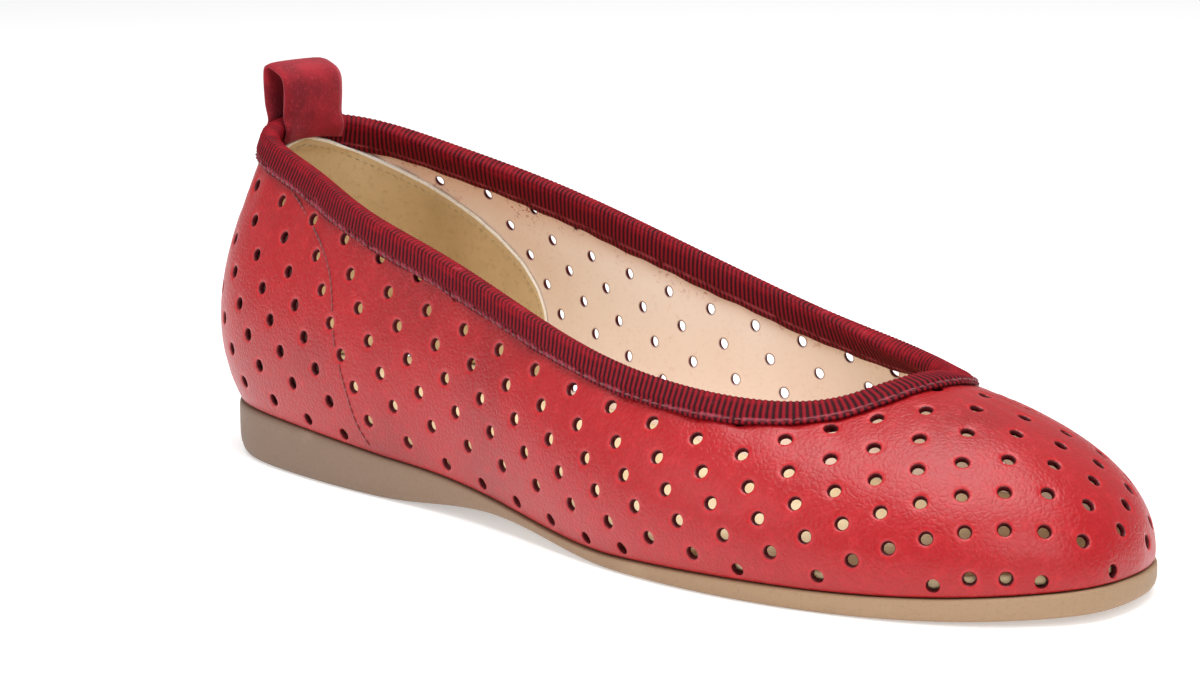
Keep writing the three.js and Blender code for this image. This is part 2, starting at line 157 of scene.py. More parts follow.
@dataclass(frozen=True)
class Last:
    """The form of the shoe: every surface is worked out from it, in millimetres."""

    sole_length: float = 245.0
    ball_width: float = 80.6
    heel_height: float = 12.2
    topline_back_height: float = 73.6
    throat_x: float = 195.4
    topline_back_x: float = 8.2
    throat_height: float = 39.2
    wall_thickness: float = 1.2
    gap: float = 0.3
    lip_width: float = 9.0
    arch_lift: float = 3.1
    arch_back: float = 0.27
    arch_front: float = 0.62
    toe_spring: float = 1.6
    spring_start: float = 0.8

    def _round(self, outer: str, inner: str, sign: float) -> Callable[[Array], Array]:
        """Closed function of the turn from a column for each side.

        Args:
            outer: Column of the outer side.
            inner: Column of the inner side.
            sign: Factor of the inner side's values.

        Returns:
            A function that reads whole arrays of turns.
        """
        last = len(SECTIONS) - 1
        places = range(-4, 2 * last + 5)
        turns = [i * 180 / last for i in places]
        wrapped = [(i + 2 * last) % (2 * last) for i in places]
        values = [
            getattr(SECTIONS[k], outer) if k <= last else sign * getattr(SECTIONS[2 * last - k], inner)
            for k in wrapped
        ]
        curve = NaturalSpline(turns, values)
        return lambda turn: curve(np.mod(turn, 360))

    @cached_property
    def side(self) -> Callable[[Array], Array]:
        """Half width of the sole's edge as a share of the ball width."""
        return self._round("outer", "inner", -1)

    @cached_property
    def collar_x(self) -> Callable[[Array], Array]:
        """Place of the topline along the shoe."""
        return self._round("collar_x", "collar_x", 1)

    @cached_property
    def collar_side(self) -> Callable[[Array], Array]:
        """Half width of the topline."""
        return self._round("collar_outer", "collar_inner", -1)

    @cached_property
    def collar_drop(self) -> Callable[[Array], Array]:
        """Drop of the topline from its height at the back."""
        return self._round("collar_drop", "collar_drop", 1)

    @cached_property
    def lean(self) -> Callable[[Array], Array]:
        """Arc of the wall's curve in degrees."""
        return self._round("lean", "lean", 1)

    @cached_property
    def bulge(self) -> Callable[[Array], Array]:
        """Swelling of the wall over the sole's edge."""
        return self._round("bulge", "bulge", 1)

    @cached_property
    def thickness(self) -> NaturalSpline:
        """Thickness of the sole along its length."""
        return NaturalSpline([x for x, _ in SOLE_ROWS], [t * self.heel_height for _, t in SOLE_ROWS])

    def lift(self, x: Array) -> Array:
        """Height of the underside: arch sin^2 of its share, toe spring the square of its share."""
        share = np.clip(x / self.sole_length, 0, 1)
        arch = np.clip((share - self.arch_back) / (self.arch_front - self.arch_back), 0, 1)
        toe = np.clip((share - self.spring_start) / (1 - self.spring_start), 0, 1)
        return self.arch_lift * np.sin(np.pi * arch) ** 2 + self.toe_spring * toe * toe

    def seam(self, x: Array) -> Array:
        """Height of the seam between sole and upper."""
        return self.lift(x) + self.thickness(np.clip(x / self.sole_length, 0, 1))

    def edge(self, turn: Array, margin: Array) -> Array:
        """Edge of the sole from above, moved outwards by a margin.

        x = L (1 - cos turn) / 2 and y = -W side(turn), moved along the normal.
        """

        def at(t: Array) -> Array:
            x = self.sole_length * (1 - np.cos(np.radians(t))) / 2
            return np.stack([x, -self.ball_width * self.side(t)], -1)

        along = unit(at(turn + 0.5) - at(turn - 0.5))
        margin = np.asarray(margin, float)
        moved = np.stack([along[..., 1] * margin, -along[..., 0] * margin], -1)
        return at(turn) + moved

    def topline(self, turn: Array) -> Array:
        """Edge of the upper round the opening."""
        x = self.topline_back_x + (self.throat_x - self.topline_back_x) * self.collar_x(turn)
        fall = self.topline_back_height - self.throat_height
        z = self.topline_back_height - fall * self.collar_drop(turn)
        return np.stack([x, -self.ball_width * self.collar_side(turn), z], -1)

    def face(self, turn: Array, rise: Array) -> Array:
        """Outside of the upper: the arc of an ellipse from the seam to the topline.

        plan = (1 - cos arc) / (1 - cos lean), height = sin arc / sin lean and
        swell = heel height * bulge * 6.75 rise (1 - rise)^2.
        """
        turn, rise = np.broadcast_arrays(np.asarray(turn, float), np.asarray(rise, float))
        lean = np.radians(self.lean(turn))
        plan = (1 - np.cos(lean * rise)) / (1 - np.cos(lean))
        height = np.sin(lean * rise) / np.sin(lean)
        swell = self.heel_height * self.bulge(turn) * 6.75 * rise * (1 - rise) ** 2
        foot = self.edge(turn, 0 * turn)
        out = self.edge(turn, swell)
        top = self.topline(turn)
        base = self.seam(foot[..., 0]) + self.gap / 2
        flat = out + (top[..., :2] - foot) * plan[..., None]
        tall = base + (top[..., 2] - base) * height
        return np.concatenate([flat, tall[..., None]], -1)

    def normal(self, turn: Array, rise: Array) -> Array:
        """Outward normal of the upper's outside."""
        along = self.face(turn + 0.5, rise) - self.face(turn - 0.5, rise)
        up = self.face(turn, np.clip(rise + 0.01, 0.01, 1)) - self.face(turn, np.clip(rise - 0.01, 0, 1))
        return unit(np.cross(along, up))

    def wall(self, turn: Array, rise: Array, offset: Array) -> Array:
        """A place of the upper moved out by the offset, or in where it is negative."""
        turn, rise, offset = np.broadcast_arrays(
            np.asarray(turn, float), np.asarray(rise, float), np.asarray(offset, float)
        )
        return self.face(turn, rise) + self.normal(turn, rise) * offset[..., None]

    def rise_over_seam(self, turn: Array, height: float, offset: float) -> Array:
        """Rise where the moved wall lies at a small height over the seam, by halving."""
        low = np.full(np.shape(turn), -0.1)
        high = np.full(np.shape(turn), 0.4)
        for _ in range(24):
            middle = (low + high) / 2
            place = self.wall(turn, middle, offset)
            over = place[..., 2] - self.seam(place[..., 0]) - self.gap / 2 - height > 0
            high = np.where(over, middle, high)
            low = np.where(over, low, middle)
        return low

    def rise_below_top(self, turn: Array, drop: Array) -> Array:
        """Rise at a distance below the topline, measured down the wall."""
        turn, drop = np.broadcast_arrays(np.asarray(turn, float), np.asarray(drop, float))
        steps = np.linspace(1, 0, 61)
        line = self.face(turn[..., None], steps)
        length = np.cumsum(np.linalg.norm(np.diff(line, axis=-2), axis=-1), axis=-1)
        length = np.concatenate([np.zeros(length.shape[:-1] + (1,)), length], -1)
        k = np.clip((length <= drop[..., None]).sum(-1) - 1, 0, len(steps) - 2)
        low = np.take_along_axis(length, k[..., None], -1)[..., 0]
        high = np.take_along_axis(length, k[..., None] + 1, -1)[..., 0]
        share = (drop - low) / (high - low)
        return steps[k] + (steps[k + 1] - steps[k]) * share


@dataclass(frozen=True)
class Punching:
    """The punched pattern: a square lattice laid slantwise over the leather.

    Two counts, along and across, follow the place on the shoe as sums of
    weight x^a y^b z^c. A hole lies where along = i + j and across = i - j - 5
    for whole numbers i and j. Behind the heel's turn the counts go on evenly.
    """

    heel_turn: float = 55.0
    heel_bend: float = 1.38
    along: tuple = (
        (0, 0, 0, 16.457), (1, 0, 0, 15.587), (0, 0, 1, -1.936),
        (2, 0, 0, 1.004), (1, 0, 1, -0.161), (0, 2, 0, -0.718),
    )
    across: tuple = (
        (0, 1, 0, 10.508), (1, 1, 0, -6.409), (0, 1, 1, -5.727),
        (2, 1, 0, 0.457), (0, 3, 0, -4.176), (1, 1, 1, 0.531),
        (3, 1, 0, 0.834), (1, 3, 0, 3.634), (0, 1, 2, -0.452),
    )

    def _sums(self, last: Last, turn: Array, rise: Array) -> Array:
        """Both sums at a place of the wall."""
        place = last.face(turn, rise)
        x = (place[..., 0] / last.sole_length - 0.49) / 0.408
        y = place[..., 1] / (last.ball_width / 2)
        z = place[..., 2] / (0.4 * last.topline_back_height) - 1
        return np.stack(
            [sum(w * x**a * y**b * z**c for a, b, c, w in rows) for rows in (self.along, self.across)], -1
        )

    def counts(self, last: Last, turn: Array, rise: Array) -> Array:
        """Counts along and across, with a straight run and a slight bend over the heel."""
        turn, rise = np.broadcast_arrays(np.asarray(turn, float), np.asarray(rise, float))
        outer = turn < 180
        forward = np.where(outer, 1.0, -1.0)
        base = np.where(outer, np.maximum(turn, self.heel_turn), np.minimum(turn, 360 - self.heel_turn))
        start = self._sums(last, base, rise)
        slope = (self._sums(last, base + forward, rise) - start) * forward[..., None]
        beyond = turn - base
        made = start + beyond[..., None] * slope
        made[..., 0] += self.heel_bend * (beyond / 30) ** 2
        return made

    def places(
        self, last: Last, seam_room: float, seam_least: float, top_room: float, back_room: float
    ) -> Array:
        """Turn and rise of every hole that has room round it.

        Args:
            last: The form of the shoe.
            seam_room: Height over the seam under which a hole is left out.
            seam_least: Height over the seam to which the lowest holes are raised.
            top_room: Least distance below the topline.
            back_room: Least distance from the back seam.

        Returns:
            One row of turn and rise for each hole.
        """
        net_turn, net_rise = np.meshgrid(np.arange(0.5, 360, 3.0), np.arange(0.0, 1.01, 0.08))
        net_turn, net_rise = net_turn.ravel(), net_rise.ravel()
        net = self.counts(last, net_turn, net_rise)
        i, j = np.meshgrid(np.arange(-16, 48), np.arange(-16, 48))
        wanted = np.stack([(i + j).ravel(), (i - j - 5).ravel()], -1).astype(float)
        miss = ((wanted[:, None, :] - net[None, :, :]) ** 2).sum(-1)
        near = miss.argmin(1)
        kept = miss[np.arange(len(near)), near] < 4
        wanted, near = wanted[kept], near[kept]
        turn, rise = net_turn[near].copy(), net_rise[near].copy()
        outer = wanted[:, 1] < 0
        for _ in range(10):
            here = self.counts(last, turn, rise)
            by_turn = (self.counts(last, turn + 0.2, rise) - here) / 0.2
            by_rise = (self.counts(last, turn, rise + 0.002) - here) / 0.002
            off = wanted - here
            det = by_turn[:, 0] * by_rise[:, 1] - by_turn[:, 1] * by_rise[:, 0]
            step_turn = (by_rise[:, 1] * off[:, 0] - by_rise[:, 0] * off[:, 1]) / det
            step_rise = (by_turn[:, 0] * off[:, 1] - by_turn[:, 1] * off[:, 0]) / det
            moved = turn + np.clip(step_turn, -6, 6)
            turn = np.clip(moved, np.where(outer, -8, 179), np.where(outer, 181, 368))
            rise = np.clip(rise + np.clip(step_rise, -0.1, 0.1), -0.05, 1.05)
        miss = np.linalg.norm(self.counts(last, turn, rise) - wanted, axis=1)
        place = last.face(turn, rise)
        tall = place[:, 2] - last.seam(place[:, 0])
        down = np.linalg.norm(place - last.topline(turn), axis=1)
        beside = np.where(turn < 180, turn, 360 - turn)
        room = (tall > seam_room) & (down > top_room) & ((beside > 40) | (np.abs(place[:, 1]) > back_room))
        good = (miss < 0.05) & room & (beside > 0)
        turn, rise = turn[good], rise[good]
        least = last.rise_over_seam(turn, seam_least, 0.0)
        return np.stack([turn, np.maximum(rise, least)], -1)


class Socket:
    """A shader socket whose arithmetic adds Math nodes."""

    def __init__(self, tree: bpy.types.NodeTree, output: bpy.types.NodeSocket) -> None:
        """Wraps an output socket of a node tree."""
        self.tree = tree
        self.output = output

    def _math(self, operation: str, *values: object, clamp: bool = False) -> "Socket":
        """Adds one Math node for an operation on sockets and numbers."""
        made = self.tree.nodes.new("ShaderNodeMath")
        made.operation = operation
        made.use_clamp = clamp
        for target, value in zip(made.inputs, values):
            if isinstance(value, Socket):
                self.tree.links.new(value.output, target)
            else:
                target.default_value = float(value)
        return Socket(self.tree, made.outputs[0])

    def __add__(self, other: object) -> "Socket":
        """self + other."""
        return self._math("ADD", self, other)

    __radd__ = __add__

    def __sub__(self, other: object) -> "Socket":
        """self - other."""
        return self._math("SUBTRACT", self, other)

    def __rsub__(self, other: object) -> "Socket":
        """other - self."""
        return self._math("SUBTRACT", other, self)

    def __mul__(self, other: object) -> "Socket":
        """self * other."""
        return self._math("MULTIPLY", self, other)

    __rmul__ = __mul__

    def __truediv__(self, other: object) -> "Socket":
        """self / other."""
        return self._math("DIVIDE", self, other)

    def sine(self) -> "Socket":
        """Sine of the value in radians."""
        return self._math("SINE", self)

    def absolute(self) -> "Socket":
        """Value without its sign."""
        return self._math("ABSOLUTE", self)

    def step(self, low: float, high: float) -> "Socket":
        """Soft step from 0 at low to 1 at high."""
        share = self._math("DIVIDE", self - low, high - low, clamp=True)
        return share * share * (3 - 2 * share)

    def within(self, low: float, high: float) -> "Socket":
        """The value held between two numbers."""
        return self._math("MINIMUM", self._math("MAXIMUM", self, low), high)


class Finish:
    """A node material under construction, with its Principled shader."""

    def __init__(self, name: str, **constants: object) -> None:
        """Makes a material.

        Args:
            name: Name of the finish.
            **constants: Values of the shader's own sockets, spaces as underscores.
        """
        self.material = bpy.data.materials.new(name)
        self.material.use_nodes = True
        self.tree = self.material.node_tree
        self.shader = self.tree.nodes["Principled BSDF"]
        for socket, value in constants.items():
            self.shader.inputs[socket.replace("_", " ")].default_value = value

    def node(self, kind: str, out: object = 0, settings: dict | None = None, **inputs: object) -> Socket:
        """Adds a node.

        Args:
            kind: Type of the node without its ShaderNode prefix.
            out: Name or number of the output to return.
            settings: Properties of the node, set first.
            **inputs: Values or sockets by input name, spaces as underscores.

        Returns:
            The wrapped output.
        """
        made = self.tree.nodes.new("ShaderNode" + kind)
        for key, value in (settings or {}).items():
            setattr(made, key, value)
        for key, value in inputs.items():
            name = key.replace("_", " ")
            found = [s for s in made.inputs if s.enabled and s.name == name]
            target = found[0]
            if isinstance(value, Socket):
                self.tree.links.new(value.output, target)
            else:
                target.default_value = value
        return Socket(self.tree, made.outputs[out])

    def place(self) -> Socket:
        """Place on the object in metres."""
        return self.node("TexCoord", out="Object")

    def mark(self, name: str) -> Socket:
        """Value of the piece's own point attribute."""
        return self.node("Attribute", out="Fac", settings={"attribute_name": name})

    def noise(
        self, scale: float, detail: float = 3.0, roughness: float = 0.5, at: Socket | None = None
    ) -> Socket:
        """Noise with a number of waves for each metre."""
        vector = at if at is not None else self.place()
        return self.node(
            "TexNoise", out=0, Vector=vector, Scale=scale, Detail=detail, Roughness=roughness
        )

    def cells(self, scale: float, feature: str = "F1", at: Socket | None = None) -> Socket:
        """Distance to the nearest of scattered points, or to their cells' edges."""
        vector = at if at is not None else self.place()
        return self.node(
            "TexVoronoi", out="Distance", settings={"feature": feature}, Vector=vector, Scale=scale
        )

    def blend(self, factor: object, first: object, second: object) -> Socket:
        """Colour between two colours."""
        made = self.tree.nodes.new("ShaderNodeMix")
        made.data_type = "RGBA"
        for target, value in zip((made.inputs[0], made.inputs[6], made.inputs[7]), (factor, first, second)):
            if isinstance(value, Socket):
                self.tree.links.new(value.output, target)
            else:
                target.default_value = value
        return Socket(self.tree, made.outputs[2])

    def feed(self, name: str, value: Socket) -> None:
        """Links a socket to the shader."""
        self.tree.links.new(value.output, self.shader.inputs[name])

    def bump(self, height: Socket, strength: float, distance: float) -> None:
        """Feeds a height in millimetres through one Bump node to the normal."""
        made = self.node("Bump", out="Normal", Strength=strength, Distance=distance, Height=height)
        self.feed("Normal", made)


def colour(red: float, green: float, blue: float) -> tuple[float, float, float, float]:
    """Linear colour from display values of 0 to 255."""
    values = np.array([red, green, blue]) / 255
    linear = np.where(values <= 0.04045, values / 12.92, ((values + 0.055) / 1.055) ** 2.4)
    return (float(linear[0]), float(linear[1]), float(linear[2]), 1.0)


@dataclass(frozen=True)
class Leather:
    """Smooth dyed leather with a fine grain and a raw flesh side."""

    name: str = "red_leather"
    base: tuple = colour(164, 9, 18)
    dark: tuple = colour(130, 4, 10)
    light: tuple = colour(194, 30, 38)
    # painted shade colour for the mouths of the holes
    hole_shade: tuple = colour(60, 3, 8)
    grain_scale: float = 1400.0
    grain_depth: float = 0.00018
    roughness: float = 0.42
    coat: float = 0.16

    def make(self) -> bpy.types.Material:
        """Builds the material."""
        finish = Finish(
            self.name,
            Specular_IOR_Level=0.38,
            Coat_Roughness=0.26,
            Sheen_Weight=0.1,
            Sheen_Roughness=0.4,
            Sheen_Tint=colour(255, 170, 170),
        )
        wide = finish.noise(28, 2, 0.5)
        fine = finish.noise(420, 4, 0.6)
        pores = finish.cells(self.grain_scale)
        creases = finish.cells(self.grain_scale * 0.55, "DISTANCE_TO_EDGE")
        tone = finish.blend(wide.step(0.25, 0.6) * 0.7 + 0.3, self.dark, self.base)
        tone = finish.blend(fine.step(0.45, 0.8) * 0.45, tone, self.light)
        tone = finish.blend((1 - pores.step(0.1, 0.5)) * 0.3, tone, self.dark)
        rim = finish.mark("rim")
        # painted highlight: a lighter ring on the slope of each hole's dimple
        tone = finish.blend((rim.step(0.01, 0.2) - rim.step(0.25, 0.6)) * 0.45, tone, self.light)
        # painted shade: the leather darkens to a near-black red at each hole's mouth
        tone = finish.blend(rim.step(0.3, 0.95) * 0.9, tone, self.hole_shade)
        finish.feed("Base Color", tone)
        rough = self.roughness + (fine - 0.5) * 0.22 + (wide - 0.5) * 0.1
        finish.feed("Roughness", rough.within(0.2, 0.8))
        finish.shader.inputs["Coat Weight"].default_value = self.coat
        grain = pores * 0.55 + creases.step(0.0, 0.25) * 0.5 + fine * 0.5
        finish.bump(grain, 0.55, self.grain_depth)
        return finish.material


@dataclass(frozen=True)
class FleshSide:
    """The pale raw inside of the upper's leather."""

    name: str = "flesh_side"

    def make(self) -> bpy.types.Material:
        """Builds the material."""
        finish = Finish(self.name, Specular_IOR_Level=0.25, Sheen_Weight=0.2, Sheen_Roughness=0.6)
        wide = finish.noise(22, 3, 0.55)
        fine = finish.noise(900, 3, 0.6)
        tone = finish.blend(wide.step(0.3, 0.75), colour(255, 240, 230), colour(250, 226, 212))
        tone = finish.blend(fine.step(0.5, 0.85) * 0.35, tone, colour(238, 200, 182))
        frayed = finish.mark("frayed")
        tone = finish.blend(frayed * 0.55, tone, colour(236, 186, 160))
        specks = finish.noise(900, 3, 0.6).step(0.56, 0.64) * finish.noise(90, 2, 0.5).step(0.42, 0.6)
        tone = finish.blend(specks * (frayed * 0.9 + 0.04), tone, colour(168, 44, 40))
        # darker red-brown ring round each hole's mouth on the flesh side: partly the red dye at the cut,
        # partly painted shade in the hole
        tone = finish.blend(finish.mark("rim").step(0.3, 1.0) * 0.8, tone, colour(120, 30, 30))
        finish.feed("Base Color", tone)
        finish.feed("Roughness", (0.75 + (fine - 0.5) * 0.2).within(0.4, 0.95))
        finish.bump(fine, 0.5, 0.00012)
        return finish.material


@dataclass(frozen=True)
class CutEdge:
    """The dark cut through the leather's thickness."""

    name: str = "cut_edge"
    tone: tuple = colour(74, 10, 16)

    def make(self) -> bpy.types.Material:
        """Builds the material."""
        finish = Finish(self.name, Specular_IOR_Level=0.2)
        fine = finish.noise(1600, 3, 0.6)
        finish.feed("Base Color", finish.blend(fine.step(0.4, 0.8), self.tone, colour(112, 20, 26)))
        finish.feed("Roughness", (0.7 + fine * 0.2).within(0.4, 0.95))
        finish.bump(fine, 0.6, 0.0001)
        return finish.material


@dataclass(frozen=True)
class Grosgrain:
    """Ribbed ribbon: u counts the ribs, v goes across the ribbon in millimetres."""

    name: str = "grosgrain_ribbon"

    def make(self) -> bpy.types.Material:
        """Builds the material."""
        finish = Finish(
            self.name,
            Specular_IOR_Level=0.14,
            Sheen_Weight=0.08,
            Sheen_Roughness=0.35,
            Sheen_Tint=colour(230, 60, 80),
        )
        chart = finish.node("UVMap", out="UV", settings={"uv_map": "ribs"})
        u = finish.node("SeparateXYZ", out="X", Vector=chart)
        v = finish.node("SeparateXYZ", out="Y", Vector=chart)
        rib = (u * (2 * math.pi) + math.pi / 2).sine() * 0.5 + 0.5
        thread = (v * (2 * math.pi * 4.5)).sine() * 0.5 + 0.5
        ribbon_mottle = finish.noise(260, 4, 0.65)
        patch = finish.noise(70, 2, 0.5)
        # painted shade and highlight: near black in the rib valleys and red on the rib tops, in step with the
        # ribs' own wave
        tone = finish.blend(rib.step(0.15, 0.8), colour(38, 0, 6), colour(122, 6, 22))
        # lighter thread lines on the rib tops: the weave's pattern, with painted highlight on the ridges
        tone = finish.blend(thread * 0.3 * rib, tone, colour(156, 20, 40))
        # painted highlight: lighter red along the crest of the fold over the topline, in patches
        fold = 1 - (v.absolute() / 1.6).within(0.0, 1.0)
        tone = finish.blend(fold * 0.6 * (ribbon_mottle.step(0.35, 0.7)), tone, colour(172, 22, 36))
        # painted sheen: a pink line along the stitch row on each leg, in patches
        selvedge = (v.absolute() - 4.9).absolute()
        stitch_line_sheen = (1 - selvedge.step(0.1, 0.6)) * ribbon_mottle.step(0.4, 0.6) * 0.5
        tone = finish.blend(stitch_line_sheen, tone, colour(190, 84, 100))
        tone = finish.blend(ribbon_mottle.step(0.62, 0.78) * patch.step(0.45, 0.7) * 0.5, tone, colour(186, 76, 96))
        finish.feed("Base Color", tone)
        finish.feed("Roughness", (0.62 + (ribbon_mottle - 0.5) * 0.3).within(0.35, 0.9))
        finish.bump(rib * 0.5 + thread * 0.35 + ribbon_mottle * 0.3, 0.6, 0.00018)
        return finish.material


@dataclass(frozen=True)
class Nubuck:
    """Matt napped red leather of the pull loop."""

    name: str = "loop_nubuck"
    base: tuple = colour(150, 26, 38)
    dark: tuple = colour(110, 14, 26)
    light: tuple = colour(190, 58, 68)

    def make(self) -> bpy.types.Material:
        """Builds the material."""
        finish = Finish(
            self.name,
            Specular_IOR_Level=0.2,
            Sheen_Weight=0.4,
            Sheen_Roughness=0.5,
            Sheen_Tint=colour(255, 150, 160),
        )
        wide = finish.noise(120, 3, 0.6)
        nap = finish.noise(1300, 4, 0.7)
        tone = finish.blend(wide.step(0.3, 0.7), self.dark, self.base)
        tone = finish.blend(nap.step(0.5, 0.78) * 0.6, tone, self.light)
        finish.feed("Base Color", tone)
        finish.feed("Roughness", (0.8 + (nap - 0.5) * 0.2).within(0.5, 1.0))
        finish.bump(nap + wide * 0.6, 0.7, 0.00016)
        return finish.material


@dataclass(frozen=True)
class LiningLeather:
    """Beige lining leather of the heel and the sock; in other colours also the pale cut edge and the painted
    shade on the lining's back.
    """

    name: str = "heel_lining"
    base: tuple = colour(224, 200, 158)
    dark: tuple = colour(196, 170, 126)
    grain: float = 700.0

    def make(self) -> bpy.types.Material:
        """Builds the material."""
        finish = Finish(self.name, Specular_IOR_Level=0.3, Sheen_Weight=0.15, Sheen_Roughness=0.5)
        wide = finish.noise(40, 3, 0.5)
        fine = finish.noise(self.grain, 4, 0.65)
        cells = finish.cells(self.grain * 1.6)
        tone = finish.blend(wide.step(0.3, 0.7), self.dark, self.base)
        tone = finish.blend(fine.step(0.5, 0.8) * 0.4, tone, colour(150, 122, 80))
        finish.feed("Base Color", tone)
        finish.feed("Roughness", (0.62 + (fine - 0.5) * 0.25).within(0.3, 0.9))
        finish.bump(fine * 0.6 + cells * 0.4, 0.5, 0.00012)
        return finish.material


@dataclass(frozen=True)
class SoleRubber:
    """Matt taupe rubber of the sole."""

    name: str = "sole_rubber"
    tread_pitch: float = 0.0042
    tread_depth: float = 0.0008

    def make(self) -> bpy.types.Material:
        """Builds the material."""
        finish = Finish(self.name, Specular_IOR_Level=0.35)
        x = finish.node("SeparateXYZ", out="X", Vector=finish.place())
        fine = finish.noise(1500, 3, 0.6)
        wide = finish.noise(60, 3, 0.5)
        # painted light: the sole is darker at the heel and lighter towards the toe
        tone = finish.blend(x.step(-0.09, 0.08), colour(128, 105, 88), colour(160, 130, 100))
        tone = finish.blend(fine.step(0.5, 0.8) * 0.35, tone, colour(120, 98, 80))
        tone = finish.blend(wide.step(0.55, 0.8) * 0.2, tone, colour(214, 190, 156))
        finish.feed("Base Color", tone)
        finish.feed("Roughness", (0.6 + (fine - 0.5) * 0.3).within(0.35, 0.9))
        y = finish.node("SeparateXYZ", out="Y", Vector=finish.place())
        facing = finish.node("NewGeometry", out="True Normal")
        under = 1 - finish.node("SeparateXYZ", out="Z", Vector=facing).step(-0.95, -0.85)
        bars = ((x * (2 * math.pi / self.tread_pitch)) + (y * 260).sine() * 1.6).sine().step(-0.2, 0.2)
        finish.bump(fine * 0.12 + bars * under, 1.0, self.tread_depth)
        return finish.material


@dataclass(frozen=True)
class Thread:
    """Sewing thread, also the colour of the painted shade laid along the quarter seams."""

    name: str
    tone: tuple

    def make(self) -> bpy.types.Material:
        """Builds the material."""
        finish = Finish(self.name, Roughness=0.6, Sheen_Weight=0.3)
        fine = finish.noise(3000, 2, 0.6)
        darker = tuple(c * 0.55 for c in self.tone[:3]) + (1.0,)
        finish.feed("Base Color", finish.blend(fine.step(0.35, 0.7), darker, self.tone))
        finish.bump(fine, 0.5, 0.00006)
        return finish.material


class Layer(Enum):
    """Material slots of the upper."""

    GRAIN = 0
    FLESH = 1
    CUT = 2


class Body(NamedTuple):
    """Plain mesh data in millimetres."""

    points: Array
    faces: Array
    slots: Array | None = None
    chart: Array | None = None
    marks: dict[str, Array] | None = None


def make_piece(
    name: str, body: Body, materials: Sequence[bpy.types.Material], chart: str = "chart"
) -> bpy.types.Object:
    """Puts mesh data into a new object that sits at the origin, in metres.

    Args:
        name: Name of the piece.
        body: Points, triangles or quads, material numbers and chart corners.
        materials: Materials in the order of their numbers.
        chart: Name of the UV map, where the body has one.

    Returns:
        The object, which rides on the root body.
    """
    mesh = bpy.data.meshes.new(name)
    points = (body.points - np.array(SHOE_CENTRE)) * MM
    mesh.from_pydata(points.tolist(), [], body.faces.tolist())
    for material in materials:
        mesh.materials.append(material)
    if body.slots is not None:
        mesh.polygons.foreach_set("material_index", body.slots.astype(np.int32))
    if body.chart is not None:
        layer = mesh.uv_layers.new(name=chart)
        layer.data.foreach_set("uv", body.chart.astype(np.float32).ravel())
    for mark, values in (body.marks or {}).items():
        mesh.attributes.new(mark, "FLOAT", "POINT").data.foreach_set("value", values.astype(np.float32))
    mesh.polygons.foreach_set("use_smooth", np.ones(len(mesh.polygons), bool))
    mesh.update()
    piece = bpy.data.objects.new(name, mesh)
    bpy.context.scene.collection.objects.link(piece)
    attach(piece, "root")
    log.info("%s: %d points, %d faces", name, len(mesh.vertices), len(mesh.polygons))
    return piece


def ring_faces(columns: int, rings: int, closed_rings: bool = True, closed_columns: bool = True) -> Array:
    """Quads of a grid of points numbered column by column.

    Args:
        columns: Number of columns.
        rings: Number of points in a column.
        closed_rings: Whether the last point of a column joins its first.
        closed_columns: Whether the last column joins the first.

    Returns:
        Rows of four point numbers.
    """
    i, j = np.meshgrid(
        np.arange(columns if closed_columns else columns - 1),
        np.arange(rings if closed_rings else rings - 1),
        indexing="ij",
    )
    i, j = i.ravel(), j.ravel()
    following, up = (i + 1) % columns, (j + 1) % rings
    return np.stack([i * rings + j, following * rings + j, following * rings + up, i * rings + up], -1)


def closed_stack(points: Array) -> Body:
    """Closed body of rings whose first and last ring lie on a middle line.

    Args:
        points: Places by column and ring; a column and its mirror share an end.

    Returns:
        The body, in triangles.
    """
    columns, number = points.shape[:2]
    i = np.arange(columns // 2)
    ends = np.stack([i, (-i) % columns, (-i - 1) % columns, i + 1], -1) * number
    caps = np.concatenate([ends, ends[:, ::-1] + number - 1]).tolist()
    squares = np.array([row for row in caps if len(set(row)) == 4])
    triangles = np.array([list(dict.fromkeys(row)) for row in caps if len(set(row)) == 3])
    quads = np.concatenate([ring_faces(columns, number, False, True), squares])
    split = np.concatenate([quads[:, [0, 1, 2]], quads[:, [0, 2, 3]], triangles])
    return Body(points.reshape(-1, 3), split)


